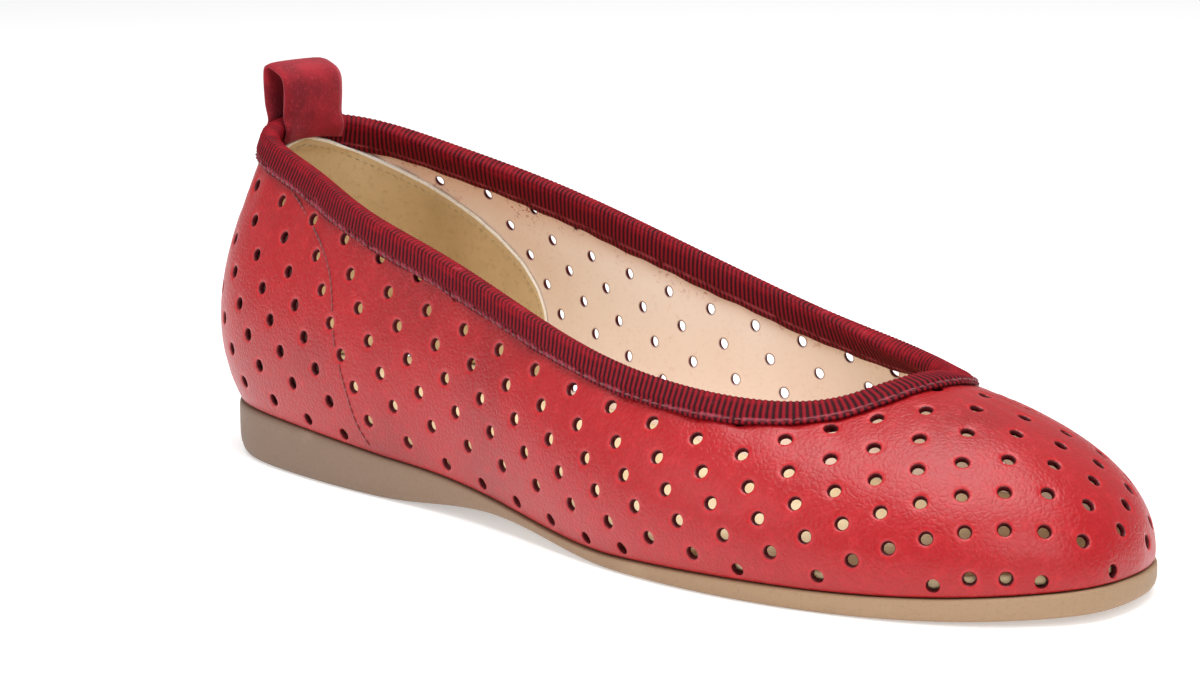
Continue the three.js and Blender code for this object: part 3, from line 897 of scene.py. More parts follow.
@dataclass
class Upper:
    """The perforated upper: one leather shell, turned in under the foot.

    The outside is triangulated over the pattern's counts, with four rings
    round each hole, and the inside is the same net moved in by the wall.
    """

    last: Last
    punching: Punching
    columns: int = 300
    levels: int = 34
    spacing: float = 1.9
    segments: int = 18
    ring_radii: tuple = (1.34, 1.52, 1.95, 2.6)
    ring_depths: tuple = (0.34, 0.14, 0.04, 0.0)
    seam_start: float = 0.5
    edge_room: float = 0.3
    mouth_share: float = 0.84

    @cached_property
    def holes(self) -> Array:
        """Turn and rise of the holes."""
        least = self.seam_start + self.ring_radii[0] + self.edge_room + 0.15
        return self.punching.places(self.last, 0.7, least, 3.2, self.ring_radii[-1] + 1.0)

    def relief(self, turn: Array, rise: Array) -> Array:
        """Soft troughs and ridges of the leather in millimetres.

        Puckers run down from the ribbon as waves of the count along the
        topline, and lasting ripples run up from the seam round the toe.
        """
        down = (1 - rise) * 50
        pucker = 0.16 * np.cos(np.radians(turn) * 46) * np.exp(-(((down - 9) / 5) ** 2))
        toe = smooth_step(1 - np.abs(turn - 180) / 75)
        ripple = 0.14 * np.cos(np.radians(turn) * 34 + 1) * np.exp(-((rise / 0.12) ** 2)) * toe
        low = smooth_step((0.9 - rise) / 0.5)
        flex = -0.35 * np.exp(-(((turn - 112 - 18 * (1 - rise)) / 2.6) ** 2)) * low
        flex_in = -0.35 * np.exp(-(((turn - 247 + 16 * (1 - rise)) / 2.6) ** 2)) * low
        return pucker * smooth_step((rise - 0.3) / 0.3) + ripple + flex * 0.6 + flex_in * 0.6

    def _rings(self, holes: Array) -> tuple[Array, Array]:
        """Turn, rise and depth of the rings round the holes.

        A ring's points lie at R (cos a, sin a) in the plane that touches the
        wall, taken back to turn and rise by the wall's two tangents.
        """
        turn, rise = holes[:, 0], holes[:, 1]
        by_turn = (self.last.face(turn + 0.2, rise) - self.last.face(turn - 0.2, rise)) / 0.4
        by_rise = (self.last.face(turn, rise + 0.002) - self.last.face(turn, rise - 0.002)) / 0.004
        first = unit(by_turn)
        second = np.cross(unit(np.cross(by_turn, by_rise)), first)
        angle = np.arange(self.segments) * 2 * np.pi / self.segments
        place = self.last.face(turn, rise)
        tall = place[:, 2] - self.last.seam(place[:, 0]) - self.seam_start
        down = np.linalg.norm(place - self.last.topline(turn), axis=1)
        room = np.minimum(tall, down) - self.edge_room
        first_radius, last_radius = self.ring_radii[0], self.ring_radii[-1]
        share = np.clip((room - first_radius) / (last_radius - first_radius), 0.12, 1)
        radii = first_radius + (np.array(self.ring_radii) - first_radius) * share[:, None]
        flat = radii[..., None, None] * np.stack([np.cos(angle), np.sin(angle)], -1)
        matrix = np.stack(
            [
                np.stack([(by_turn * first).sum(-1), (by_rise * first).sum(-1)], -1),
                np.stack([(by_turn * second).sum(-1), (by_rise * second).sum(-1)], -1),
            ],
            -2,
        )
        moves = np.einsum("hab,hrsb->hrsa", np.linalg.inv(matrix), flat)
        rings = moves + holes[:, None, None, :]
        depth = np.broadcast_to(np.array(self.ring_depths)[None, :, None], rings.shape[:3])
        return rings, depth

    def _levels(self, holes: Array, low_rise: NaturalSpline) -> Array:
        """Turn and rise of evenly spread points between the seam and the topline."""
        made = []
        fine_turn = np.linspace(0, 360, 1441)
        for k in range(1, self.levels):
            share = k / self.levels
            rise = low_rise(fine_turn) + (1 - low_rise(fine_turn)) * share
            line = self.last.face(fine_turn, rise)
            length = np.concatenate([[0], np.cumsum(np.linalg.norm(np.diff(line, axis=0), axis=1))])
            number = int(length[-1] / self.spacing)
            at = (np.arange(number) + 0.5 + 0.5 * (k % 2)) * length[-1] / (number + 0.5)
            at = at[(at > 0.6 * self.spacing) & (at < length[-1] - 0.6 * self.spacing)]
            turn = np.interp(at, length, fine_turn)
            made.append(np.stack([turn, np.interp(turn, fine_turn, rise)], -1))
        points = np.concatenate(made)
        place = self.last.face(points[:, 0], points[:, 1])
        middle = self.last.face(holes[:, 0], holes[:, 1])
        near = np.full(len(place), np.inf)
        for part in np.array_split(middle, 8):
            near = np.minimum(near, np.linalg.norm(place[:, None] - part[None], axis=-1).min(1))
        return points[near > self.ring_radii[-1] + 0.7]

    def build(self) -> Body:
        """Works out the whole shell."""
        last = self.last
        holes = self.holes
        log.info("upper: %d holes", len(holes))
        bottom_turn = np.linspace(0, 360, self.columns + 1)
        bottom_rise = last.rise_over_seam(bottom_turn, self.seam_start, 0.0)
        low_rise = NaturalSpline(bottom_turn, bottom_rise)
        top_turn = np.linspace(0, 360, self.columns + 1)
        back = np.linspace(0, 1, self.levels + 1)[1:-1]
        back_rise = bottom_rise[0] + (1 - bottom_rise[0]) * back
        outline = np.concatenate(
            [
                np.stack([bottom_turn, bottom_rise], -1),
                np.stack([np.full(len(back), 360.0), back_rise], -1),
                np.stack([top_turn, np.ones(len(top_turn))], -1)[::-1],
                np.stack([np.zeros(len(back)), back_rise], -1)[::-1],
            ]
        )
        rings, depth = self._rings(holes)
        inner = self._levels(holes, low_rise)
        places = np.concatenate([outline, rings.reshape(-1, 2), inner])
        depths = np.concatenate([np.zeros(len(outline)), depth.ravel(), np.zeros(len(inner))])
        flat = self._domain(places)
        count = len(outline)
        loop = np.stack([np.arange(count), np.roll(np.arange(count), -1)], -1)
        starts = count + np.arange(rings.shape[0] * rings.shape[1]) * self.segments
        ring = np.stack([np.arange(self.segments), np.roll(np.arange(self.segments), -1)], -1)
        edges = np.concatenate([loop, (starts[:, None, None] + ring[None]).reshape(-1, 2)])
        made = delaunay_2d_cdt(flat.tolist(), edges.tolist(), [], 1, 1e-7, True)
        if len(made[0]) != len(flat):
            raise RuntimeError(f"the net gained {len(made[0]) - len(flat)} points")
        faces = np.array([face for face in made[2] if len(face) == 3])
        beside = (faces < count).all(1)
        beyond = np.zeros(len(faces), bool)
        beyond[beside] = ~within(flat[faces[beside]].mean(1), flat[:count])
        own = (faces[:, 0] - count) // (self.segments * rings.shape[1])
        in_ring = (faces >= count) & (faces < count + rings.shape[0] * rings.shape[1] * self.segments)
        level = ((faces - count) // self.segments) % rings.shape[1]
        same = (
            in_ring.all(1)
            & (level == 0).all(1)
            & (own == (faces[:, 1] - count) // (self.segments * rings.shape[1]))
            & (own == (faces[:, 2] - count) // (self.segments * rings.shape[1]))
        )
        faces = faces[~(same | beyond)]
        return self._shell(places, depths, faces, count, bottom_turn)

    def _domain(self, places: Array) -> Array:
        """Counts as the flat place of each point; the inner side mirrors the outer."""
        return self.punching.counts(self.last, places[:, 0], places[:, 1])

    def _shell(self, places: Array, depths: Array, faces: Array, outline: int, bottom_turn: Array) -> Body:
        """Gives the net its inside, its cut edges and the lip under the foot."""
        last = self.last
        columns = len(bottom_turn)
        back = self.levels - 1
        right = np.arange(columns - 1, columns + back + 1)
        climb = np.arange(outline - 1, outline - 1 - back, -1)
        left = np.concatenate([[0], climb, [columns + back + columns - 1]])
        alias = np.arange(len(places))
        alias[right] = left
        turn, rise = places[:, 0], places[:, 1]
        relief = self.relief(turn, rise)
        outside = last.wall(turn, rise, relief - depths)
        inside = last.wall(turn, rise, relief - last.wall_thickness)
        mouth = np.flatnonzero(depths == self.ring_depths[0]).reshape(-1, self.segments)
        middle = inside[mouth].mean(1, keepdims=True)
        inside[mouth] = middle + (inside[mouth] - middle) * self.mouth_share
        merged = alias[faces]
        total = len(places)
        ordered = np.sort(np.stack([merged, np.roll(merged, -1, axis=1)], -1), axis=-1)
        pairs = np.stack([merged, np.roll(merged, -1, axis=1)], -1).reshape(-1, 2)
        keys = ordered.reshape(-1, 2)
        _, first, number = np.unique(keys[:, 0] * total + keys[:, 1], return_index=True, return_counts=True)
        rim = pairs[first[number == 1]]
        bottom_ids = alias[np.arange(columns)]
        on_bottom = np.isin(rim, bottom_ids).all(1)
        cut = rim[~on_bottom]
        a, b, c = (outside[merged[:, k]] for k in range(3))
        normal_up = np.cross(b - a, c - a)
        if (normal_up * last.normal(turn[faces[:, 0]], rise[faces[:, 0]])).sum() < 0:
            merged = merged[:, ::-1]
            cut = cut[:, ::-1]
        walls = np.concatenate(
            [
                np.stack([cut[:, 1], cut[:, 0], cut[:, 0] + total], -1),
                np.stack([cut[:, 1], cut[:, 0] + total, cut[:, 1] + total], -1),
            ]
        )
        lip_points, lip_faces = self._lip(bottom_turn[:-1], bottom_ids[:-1], total)
        points = np.concatenate([outside, inside, lip_points])
        triangles = np.concatenate([merged, merged[:, ::-1] + total, walls, lip_faces])
        slots = np.concatenate(
            [
                np.full(len(merged), Layer.GRAIN.value),
                np.full(len(merged), Layer.FLESH.value),
                np.full(len(walls), Layer.CUT.value),
                np.full(len(lip_faces), Layer.GRAIN.value),
            ]
        )
        lowered = depths / self.ring_depths[0]
        frayed = smooth_step((rise - 0.66) / 0.2)
        rest = np.zeros(len(lip_points))
        marks = {
            "rim": np.concatenate([lowered, lowered, rest]),
            "frayed": np.concatenate([frayed, frayed, rest]),
        }
        used, renamed = np.unique(triangles, return_inverse=True)
        kept = {name: values[used] for name, values in marks.items()}
        return Body(points[used], renamed.reshape(triangles.shape), slots, None, kept)

    def _lip(self, turn: Array, chain: Array, total: int) -> tuple[Array, Array]:
        """The lip that is turned in between sole and sock, as a profile carried round.

        Args:
            turn: Turns of the bottom chain.
            chain: Point numbers of the bottom chain on the outside.
            total: Number of points of the outside.

        Returns:
            New points and triangles.
        """
        last = self.last

        def low(margin: float, lift: float) -> Array:
            flat = last.edge(turn, np.full(len(turn), margin))
            return np.concatenate([flat, (last.seam(flat[:, 0]) + last.gap / 2 + lift)[:, None]], -1)

        outside_rise = last.rise_over_seam(turn, self.seam_start * 0.3, 0.0)
        rows = [
            last.wall(turn, outside_rise, -0.12),
            low(-self.seam_start, 0.0),
            low(-last.lip_width, 0.0),
            low(-last.lip_width, last.wall_thickness),
        ]
        points = np.stack(rows, 1)
        number = len(turn)
        rings = len(rows)
        ids = 2 * total + np.arange(number * rings).reshape(number, rings)
        grid = np.concatenate([chain[:, None], ids, chain[:, None] + total], 1)
        ahead = np.roll(grid, -1, axis=0)
        a, b, c, d = grid[:, :-1], grid[:, 1:], ahead[:, 1:], ahead[:, :-1]
        halves = [np.stack(half, -1).reshape(-1, 3) for half in ((a, b, c), (a, c, d))]
        faces = np.concatenate(halves)
        return points.reshape(-1, 3), faces

    def make(self) -> bpy.types.Object:
        """Builds and dresses the piece."""
        piece = make_piece(
            "shoe_upper", self.build(), [Leather().make(), FleshSide().make(), CutEdge().make()]
        )
        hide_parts("upper")
        return piece


@dataclass
class Binding:
    """Grosgrain ribbon folded over the topline.

    A U of points is carried round the topline at even distances, a few
    columns to each rib, and the ribs lift its outside by a cosine.
    """

    last: Last
    pitch: float = 1.22
    samples: int = 5
    outside_width: float = 5.7
    inside_width: float = 6.4
    thickness: float = 0.7
    clearance: float = 0.35
    padding: float = 0.36
    fold_share: float = 0.66
    rib_height: float = 0.2

    def _stations(self) -> tuple[Array, int]:
        """Turns of the columns, evenly spread along the topline."""
        fine = np.linspace(0, 360, 3601)
        line = self.last.topline(fine)
        length = np.concatenate([[0], np.cumsum(np.linalg.norm(np.diff(line, axis=0), axis=1))])
        ribs = int(round(length[-1] / self.pitch))
        at = np.arange(ribs * self.samples) * length[-1] / (ribs * self.samples)
        return np.interp(at, length, fine), ribs

    def build(self) -> Body:
        """Works out the ribbon."""
        last = self.last
        turn, ribs = self._stations()
        phase = np.arange(len(turn)) / self.samples
        wave = 0.5 + 0.5 * np.cos(2 * np.pi * phase)
        wobble = 0.12 * np.sin(phase * 0.31) + 0.1 * np.sin(phase * 0.83 + 2)
        outer = self.clearance
        inner = -last.wall_thickness - self.clearance
        top_up = unit(last.face(turn, 1.0) - last.face(turn, 0.97))
        rows, across = [], []

        def leg(drops: Sequence[float], side: float, base: float, width: float) -> None:
            for share in drops:
                drop = width * share + wobble * share
                rise = last.rise_below_top(turn, drop)
                full = self.thickness + self.padding * (1 - smooth_step((share - self.fold_share) / 0.12))
                edge = 1 - smooth_step((share - 0.93) / 0.07) * 0.45
                ribbed = self.rib_height * (1 - 0.75 * smooth_step((share - self.fold_share) / 0.12))
                offset = base + side * (full * edge + ribbed * wave)
                rows.append(last.wall(turn, rise, offset))
                across.append(np.full(len(turn), side * drop))

        outer_shares = (1.0, 0.97, 0.88, 0.76, 0.7, 0.64, 0.58, 0.45, 0.3, 0.12)
        inner_shares = (0.12, 0.3, 0.45, 0.58, 0.64, 0.7, 0.8, 0.9, 0.97, 1.0)
        leg(outer_shares, 1.0, outer, self.outside_width)
        face, normal = last.face(turn, 1.0), last.normal(turn, 1.0)
        middle = -last.wall_thickness / 2
        reach = last.wall_thickness / 2 + self.clearance + self.thickness + self.padding
        for angle in np.radians([24, 52, 78, 102, 128, 156]):
            grown = reach + self.rib_height * wave
            out = middle + np.cos(angle) * grown
            up = np.sin(angle) * (self.clearance + self.thickness + self.rib_height * wave)
            rows.append(face + normal * out[:, None] + top_up * up[:, None])
            across.append(np.full(len(turn), np.cos(angle) * 1.2))
        leg(inner_shares, -1.0, inner, self.inside_width)
        for share in (1.0, 0.5, 0.05):
            rise = last.rise_below_top(turn, self.inside_width * share + wobble * share)
            rows.append(last.wall(turn, rise, inner))
            across.append(np.full(len(turn), -self.inside_width * share))
        lifted = top_up * self.clearance
        rows.append(last.wall(turn, 1.0, inner) + lifted)
        rows.append(last.wall(turn, 1.0, outer) + lifted)
        across += [np.zeros(len(turn))] * 2
        for share in (0.05, 0.5, 1.0):
            rise = last.rise_below_top(turn, self.outside_width * share + wobble * share)
            rows.append(last.wall(turn, rise, outer))
            across.append(np.full(len(turn), self.outside_width * share))
        points = np.stack(rows, 1)
        rings = len(rows)
        faces = ring_faces(len(turn), rings)
        u = np.repeat(phase[:, None], rings, 1).ravel()
        v = np.stack(across, 1).ravel()
        corner_u = u[faces]
        ahead = corner_u[:, 1:3]
        corner_u[:, 1:3] = np.where(ahead < corner_u[:, :1], ahead + ribs, ahead)
        chart = np.stack([corner_u, v[faces]], -1)
        return Body(points.reshape(-1, 3), faces, None, chart.reshape(-1, 2))

    def make(self) -> bpy.types.Object:
        """Builds and dresses the piece."""
        piece = make_piece("ribbon_binding", self.build(), [Grosgrain().make()], "ribs")
        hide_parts("collar_binding")
        return piece


@dataclass
class PullLoop:
    """Strip that covers the back seam, stands up as a loop and goes down inside."""

    last: Last
    width: float = 16.8
    thickness: float = 1.4
    rise_height: float = 13.6
    outside_leg: float = 17.0
    inside_leg: float = 3.2
    spread: float = 0.6
    flat_above: float = 4.0
    ribbon_out: float = 1.5
    across_points: int = 13

    def _back(self, y: Array, drop: Array, offset: Array) -> Array:
        """Place on the back of the upper at a distance y from the back seam."""
        last = self.last
        height = np.linalg.norm(last.face(0.0, 1.0) - last.face(0.0, 0.0))
        y, drop, offset = np.broadcast_arrays(y, drop, offset)
        rise = 1 - drop / height
        low, high = np.full(y.shape, -50.0), np.full(y.shape, 50.0)
        for _ in range(30):
            middle = (low + high) / 2
            above = last.wall(middle, rise, offset)[..., 1] < y
            high = np.where(above, middle, high)
            low = np.where(above, low, middle)
        return last.wall(low, rise, offset)

    def _path(self) -> Array:
        """Drop, height, and middle offset of the strip at each station, with its direction."""
        wall = self.last.wall_thickness
        out = self.ribbon_out + 0.3 + self.thickness / 2
        inside = -wall - out
        rows = []
        for drop in np.linspace(self.outside_leg, 7.4, 10):
            rows.append((drop, 0.0, 0.25 + self.thickness / 2))
        for share in np.linspace(0.1, 1, 8):
            drop = 7.4 - 2.2 * share
            rows.append((drop, 0.0, 0.25 + self.thickness / 2 + (out - 0.25 - self.thickness / 2) * share))
        for drop in (4.0, 2.6, 1.3):
            rows.append((drop, 0.0, out))
        middle = -wall / 2
        radius = out - middle + self.spread
        straight = self.rise_height - radius - self.thickness / 2
        for share in np.linspace(0, 1, 12):
            rows.append((0.0, straight * share, out + self.spread * share * share * (3 - 2 * share)))
        for angle in np.linspace(0, np.pi, 22)[1:-1]:
            square = 0.6
            c, s = np.cos(angle), np.sin(angle)
            flat_c = np.sign(c) * np.abs(c) ** square
            flat_s = np.abs(s) ** square
            rows.append((0.0, straight + radius * flat_s, middle + radius * flat_c))
        for share in np.linspace(1, 0, 12):
            rows.append((0.0, straight * share, inside - self.spread * share * share * (3 - 2 * share)))
        for drop in np.linspace(0.8, self.inside_leg, 4):
            rows.append((drop, 0.0, inside))
        return np.array(rows)

    def build(self) -> Body:
        """Works out the strip as a rounded section carried along the path."""
        path = self._path()
        half = self.width / 2
        y = np.linspace(-half, half, self.across_points)
        crown = 1 - 0.55 * np.abs(y / half) ** 9
        drop = path[:, 0][:, None] + 0 * y
        up = path[:, 1][:, None]
        offset = path[:, 2][:, None] + 0 * y
        base = self._back(y[None, :] + 0 * drop, drop, offset)
        flat_y = self._back(np.full((len(path), 1), self.width * 0.3), drop[:, :1], offset[:, :1])[..., 0]
        flatness = smooth_step(up / self.flat_above)
        base = base.copy()
        base[..., 0] += (flat_y - base[..., 0]) * flatness
        base[..., 2] += up
        sag = 0.35 * np.sin(np.pi * (y / half + 1) / 2)[None, :] * smooth_step(up / 8)
        base[..., 2] -= sag * (1 - np.abs(np.gradient(path[:, 1]))[:, None].clip(0, 1))
        along = unit(np.gradient(base, axis=0))
        side = np.gradient(base, axis=1)
        normal = unit(np.cross(along, unit(side)))
        towards = np.sign((normal * (base - np.array([12.0, 0.0, 70.0]))).sum())
        thick = self.thickness / 2 * crown[None, :, None]
        outer = base + normal * thick * towards
        inner = base - normal * thick * towards
        section = np.concatenate([outer, inner[:, ::-1]], 1)
        rings = section.shape[1]
        faces = [tuple(row) for row in ring_faces(len(path), rings, True, False)]
        caps = []
        last = (len(path) - 1) * rings
        for j in range(self.across_points - 1):
            caps.append((j, j + 1, rings - 2 - j, rings - 1 - j))
            caps.append((last + rings - 1 - j, last + rings - 2 - j, last + j + 1, last + j))
        faces = np.array(faces + [tuple(reversed(c)) for c in caps])
        return Body(section.reshape(-1, 3), faces)

    def make(self) -> bpy.types.Object:
        """Builds and dresses the piece."""
        piece = make_piece("heel_pull_loop", self.build(), [Nubuck().make()])
        recalculate(piece)
        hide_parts("pull_loop")
        return piece


def recalculate(piece: bpy.types.Object) -> None:
    """Turns the faces of a closed piece outwards."""
    net = bmesh.new()
    net.from_mesh(piece.data)
    bmesh.ops.recalc_face_normals(net, faces=net.faces)
    net.to_mesh(piece.data)
    net.free()


@dataclass
class HeelLining:
    """Lining leather inside the back, over the ribbon at the heel and cut in a curve ahead."""

    last: Last
    sole_room: float = 4.0
    thickness: float = 0.9
    rows: int = 26
    columns: int = 181
    edge_turns: tuple = (0, 9, 16, 24, 30, 36, 40, 45, 49, 53, 55.5, 57, 57.8)
    edge_drops: tuple = (2.6, 4.0, 5.8, 7.6, 9.1, 10.9, 12.7, 15.4, 18.4, 22.4, 27, 33, 47)

    def front(self, turn: Array) -> Array:
        """Drop of the lining's edge below the topline at a distance round from the heel."""
        return np.interp(np.abs(turn), self.edge_turns, self.edge_drops)

    def build(self) -> Body:
        """Works out the shell: columns round the heel, rows from its edge to the sock."""
        last = self.last
        span = self.edge_turns[-1]
        share = np.linspace(-1, 1, self.columns)
        turn = span * np.sign(share) * np.abs(share) ** 0.85
        top_rise = last.rise_below_top(turn, self.front(turn))
        low_rise = last.rise_over_seam(turn, self.sole_room, -last.wall_thickness)
        top_rise = np.maximum(top_rise, low_rise + 0.004)
        down = np.linspace(0, 1, self.rows) ** 1.3
        rise = top_rise[:, None] + (low_rise - top_rise)[:, None] * down
        spread = np.broadcast_to(turn[:, None], rise.shape)
        drop = (1 - rise) * 60
        over = 1.35 * (1 - smooth_step((drop - 6.2) / 2.6))
        near = -last.wall_thickness - 0.12 - over
        skive = 0.8 + 0.2 * smooth_step(down * self.rows / 2)[None, :]
        far = near - self.thickness * skive
        front = last.wall(spread, rise, far)
        back = last.wall(spread, rise, near)
        ring = np.concatenate([front, back[:, ::-1]], 1)
        faces = ring_faces(self.columns, ring.shape[1], True, False)
        rings = ring.shape[1]
        end = (self.columns - 1) * rings
        j = np.arange(self.rows - 1)
        caps = np.concatenate(
            [
                np.stack([j, j + 1, rings - 2 - j, rings - 1 - j], -1),
                np.stack([end + rings - 1 - j, end + rings - 2 - j, end + j + 1, end + j], -1),
            ]
        )
        row = np.tile(np.arange(rings), self.columns - 1)
        slots = np.where((row == 0) | (row == rings - 1), 1, np.where(row < self.rows - 1, 0, 2))
        slots = np.concatenate([slots, np.ones(len(caps), int)])
        return Body(ring.reshape(-1, 3), np.concatenate([faces, caps]), slots)

    def make(self) -> bpy.types.Object:
        """Builds and dresses the piece."""
        edge = LiningLeather("lining_edge", colour(255, 252, 242), colour(246, 236, 214), 900.0)
        # painted shade: the lining's back, seen through the heel's holes, is dark brownish red for the shade
        # between lining and upper
        back_shade = LiningLeather("lining_back_shade", colour(96, 40, 36), colour(62, 18, 20), 900.0)
        piece = make_piece("heel_lining", self.build(), [LiningLeather().make(), edge.make(), back_shade.make()])
        recalculate(piece)
        return piece


@dataclass
class Sock:
    """Insole board with its leather sock, stepped underneath over the upper's lip."""

    last: Last
    columns: int = 240
    thickness: float = 2.4

    def _ring(self, turn: Array, inset: float, height: float) -> Array:
        """Points inside the wall at a height over the seam."""
        last = self.last
        rise = last.rise_over_seam(turn, height, -last.wall_thickness - last.gap - inset)
        return last.wall(turn, rise, -last.wall_thickness - last.gap - inset)

    def build(self) -> Body:
        """Works out the body: side rings and a spread of rings shrinking to the middle line."""
        last = self.last
        turn = np.arange(self.columns) * 360 / self.columns
        board = last.wall_thickness + last.gap
        top = board + self.thickness

        def low(height: float) -> Array:
            flat = last.edge(turn, np.full(len(turn), -last.lip_width - last.gap))
            return np.concatenate([flat, (last.seam(flat[:, 0]) + last.gap / 2 + height)[:, None]], -1)

        def spine(ring: Array, share: float, dish: float) -> Array:
            middle = ring[:, 0].mean()
            reach = (ring[:, 0] - middle) * 0.86 + middle
            target = np.stack([reach, ring[:, 1] * 0.02, ring[:, 2]], -1)
            moved = ring + (target - ring) * share
            moved[:, 2] = last.seam(moved[:, 0]) + last.gap / 2 + dish
            return moved

        side_top = self._ring(turn, 0.5, top)
        rings = [
            spine(low(last.gap), 1.0, last.gap),
            spine(low(last.gap), 0.5, last.gap),
            low(last.gap),
            low(board),
            self._ring(turn, 0.35, board),
            self._ring(turn, 0.2, board + 0.6),
            self._ring(turn, 0.2, top - 0.7),
            side_top,
        ]
        hollow = ((0.06, 0.02), (0.14, -0.1), (0.3, -0.25), (0.5, -0.38), (0.75, -0.45), (1.0, -0.48))
        for share, dish in hollow:
            rings.append(spine(side_top, share, top + dish))
        return closed_stack(np.stack(rings, 1))

    def make(self) -> bpy.types.Object:
        """Builds and dresses the piece."""
        finish = LiningLeather("sock_leather", colour(226, 205, 168), colour(204, 178, 134), 520.0)
        piece = make_piece("leather_sock", self.build(), [finish.make()])
        recalculate(piece)
        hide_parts("insole")
        return piece


@dataclass
class Outsole:
    """Moulded rubber sole with a low heel, an arch and a little toe spring."""

    last: Last
    columns: int = 240
    margin: float = 0.6

    def build(self) -> Body:
        """Works out the body: the side's rings, and rings that shrink to the middle line."""
        last = self.last
        turn = np.arange(self.columns) * 360 / self.columns

        def at(margin: float, share: float) -> Array:
            flat = last.edge(turn, np.full(len(turn), margin))
            low = last.lift(flat[:, 0])
            high = last.seam(flat[:, 0]) - last.gap / 2
            return np.concatenate([flat, (low + (high - low) * share)[:, None]], -1)

        def towards(ring: Array, share: float, under: bool, inset: float) -> Array:
            middle = ring[:, 0].mean()
            reach = (ring[:, 0] - middle) * 0.86 + middle
            target = np.stack([reach, ring[:, 1] * 0.02, ring[:, 2]], -1)
            moved = ring + (target - ring) * share
            level = last.lift(moved[:, 0]) if under else last.seam(moved[:, 0]) - last.gap / 2
            moved[:, 2] = level + inset
            return moved

        foot = at(-1.6, 0.0)
        crown = at(self.margin - 0.55, 1.0)
        rings = [towards(foot, s, True, 0.0) for s in (1.0, 0.75, 0.5, 0.25, 0.1)]
        rings += [
            foot,
            at(-0.7, 0.03),
            at(-0.1, 0.1),
            at(self.margin - 0.25, 0.22),
            at(self.margin - 0.04, 0.38),
            at(self.margin, 0.55),
            at(self.margin, 0.8),
            at(self.margin - 0.02, 0.9),
            at(self.margin - 0.14, 0.965),
            crown,
        ]
        rings += [towards(crown, s, False, 0.0) for s in (0.1, 0.3, 0.6, 1.0)]
        return closed_stack(np.stack(rings, 1))

    def make(self) -> bpy.types.Object:
        """Builds and dresses the piece."""
        piece = make_piece("moulded_sole", self.build(), [SoleRubber().make()])
        recalculate(piece)
        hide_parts("outsole")
        return piece


@dataclass(frozen=True)
class SeamLine:
    """A row of machine stitches along a line on the upper; with overlapping capsules it makes a solid line of
    painted shade.
    """

    name: str
    finish: Thread
    stitch: float = 2.2
    space: float = 0.5
    radius: float = 0.24
    sides: int = 6
    rings: int = 5

    def build(self, line: Array, normal: Array, avoid: Array | None = None) -> Body:
        """Carries one capsule of few faces to each stitch.

        A stitch is a tube along the line whose radius falls at its ends as
        sqrt(1 - s^6), and whose middle stands a little off the surface.

        Args:
            line: Points along the seam, evenly spread and close.
            normal: Outward normals at those points.
            avoid: Middles of holes that a stitch keeps clear of.

        Returns:
            All stitches in one body.
        """
        length = np.concatenate([[0], np.cumsum(np.linalg.norm(np.diff(line, axis=0), axis=1))])
        number = int(length[-1] / self.stitch)
        starts = np.arange(number) * self.stitch
        if avoid is not None:
            at = starts + self.stitch / 2
            middle = np.stack([np.interp(at, length, line[:, k]) for k in range(3)], -1)
            clear = np.linalg.norm(middle[:, None] - avoid[None], axis=-1).min(1) > 2.5
            starts = starts[clear]
            number = len(starts)
        s = np.linspace(-1, 1, self.rings)
        at = starts[:, None] + self.space / 2 + (s + 1) / 2 * (self.stitch - self.space)
        centre = np.stack([np.interp(at, length, line[:, k]) for k in range(3)], -1)
        up = unit(np.stack([np.interp(at, length, normal[:, k]) for k in range(3)], -1))
        along = unit(np.gradient(centre, axis=1))
        side = unit(np.cross(along, up))
        centre = centre + up * (self.radius * 0.75 * (1 - s**4) - self.radius * 0.55)[None, :, None]
        radius = self.radius * np.sqrt(np.clip(1 - np.abs(s) ** 6, 0.05, 1))
        angle = np.arange(self.sides) * 2 * np.pi / self.sides
        ring = (
            side[:, :, None, :] * np.cos(angle)[None, None, :, None]
            + up[:, :, None, :] * np.sin(angle)[None, None, :, None]
        )
        points = centre[:, :, None, :] + ring * radius[None, :, None, None]
        one = ring_faces(self.rings, self.sides, True, False)
        tris = np.concatenate([one[:, [0, 1, 2]], one[:, [0, 2, 3]]])
        fan = np.arange(1, self.sides - 1)
        first = np.stack([np.zeros_like(fan), fan, fan + 1], -1)
        final = first[:, ::-1] + (self.rings - 1) * self.sides
        tris = np.concatenate([tris, first, final])
        each = self.rings * self.sides
        faces = (tris[None] + (np.arange(number) * each)[:, None, None]).reshape(-1, 3)
        return Body(points.reshape(-1, 3), faces)

    def make(self, line: Array, normal: Array, avoid: Array | None = None) -> bpy.types.Object:
        """Builds and dresses the row."""
        piece = make_piece(self.name, self.build(line, normal, avoid), [self.finish.make()])
        recalculate(piece)
        return piece


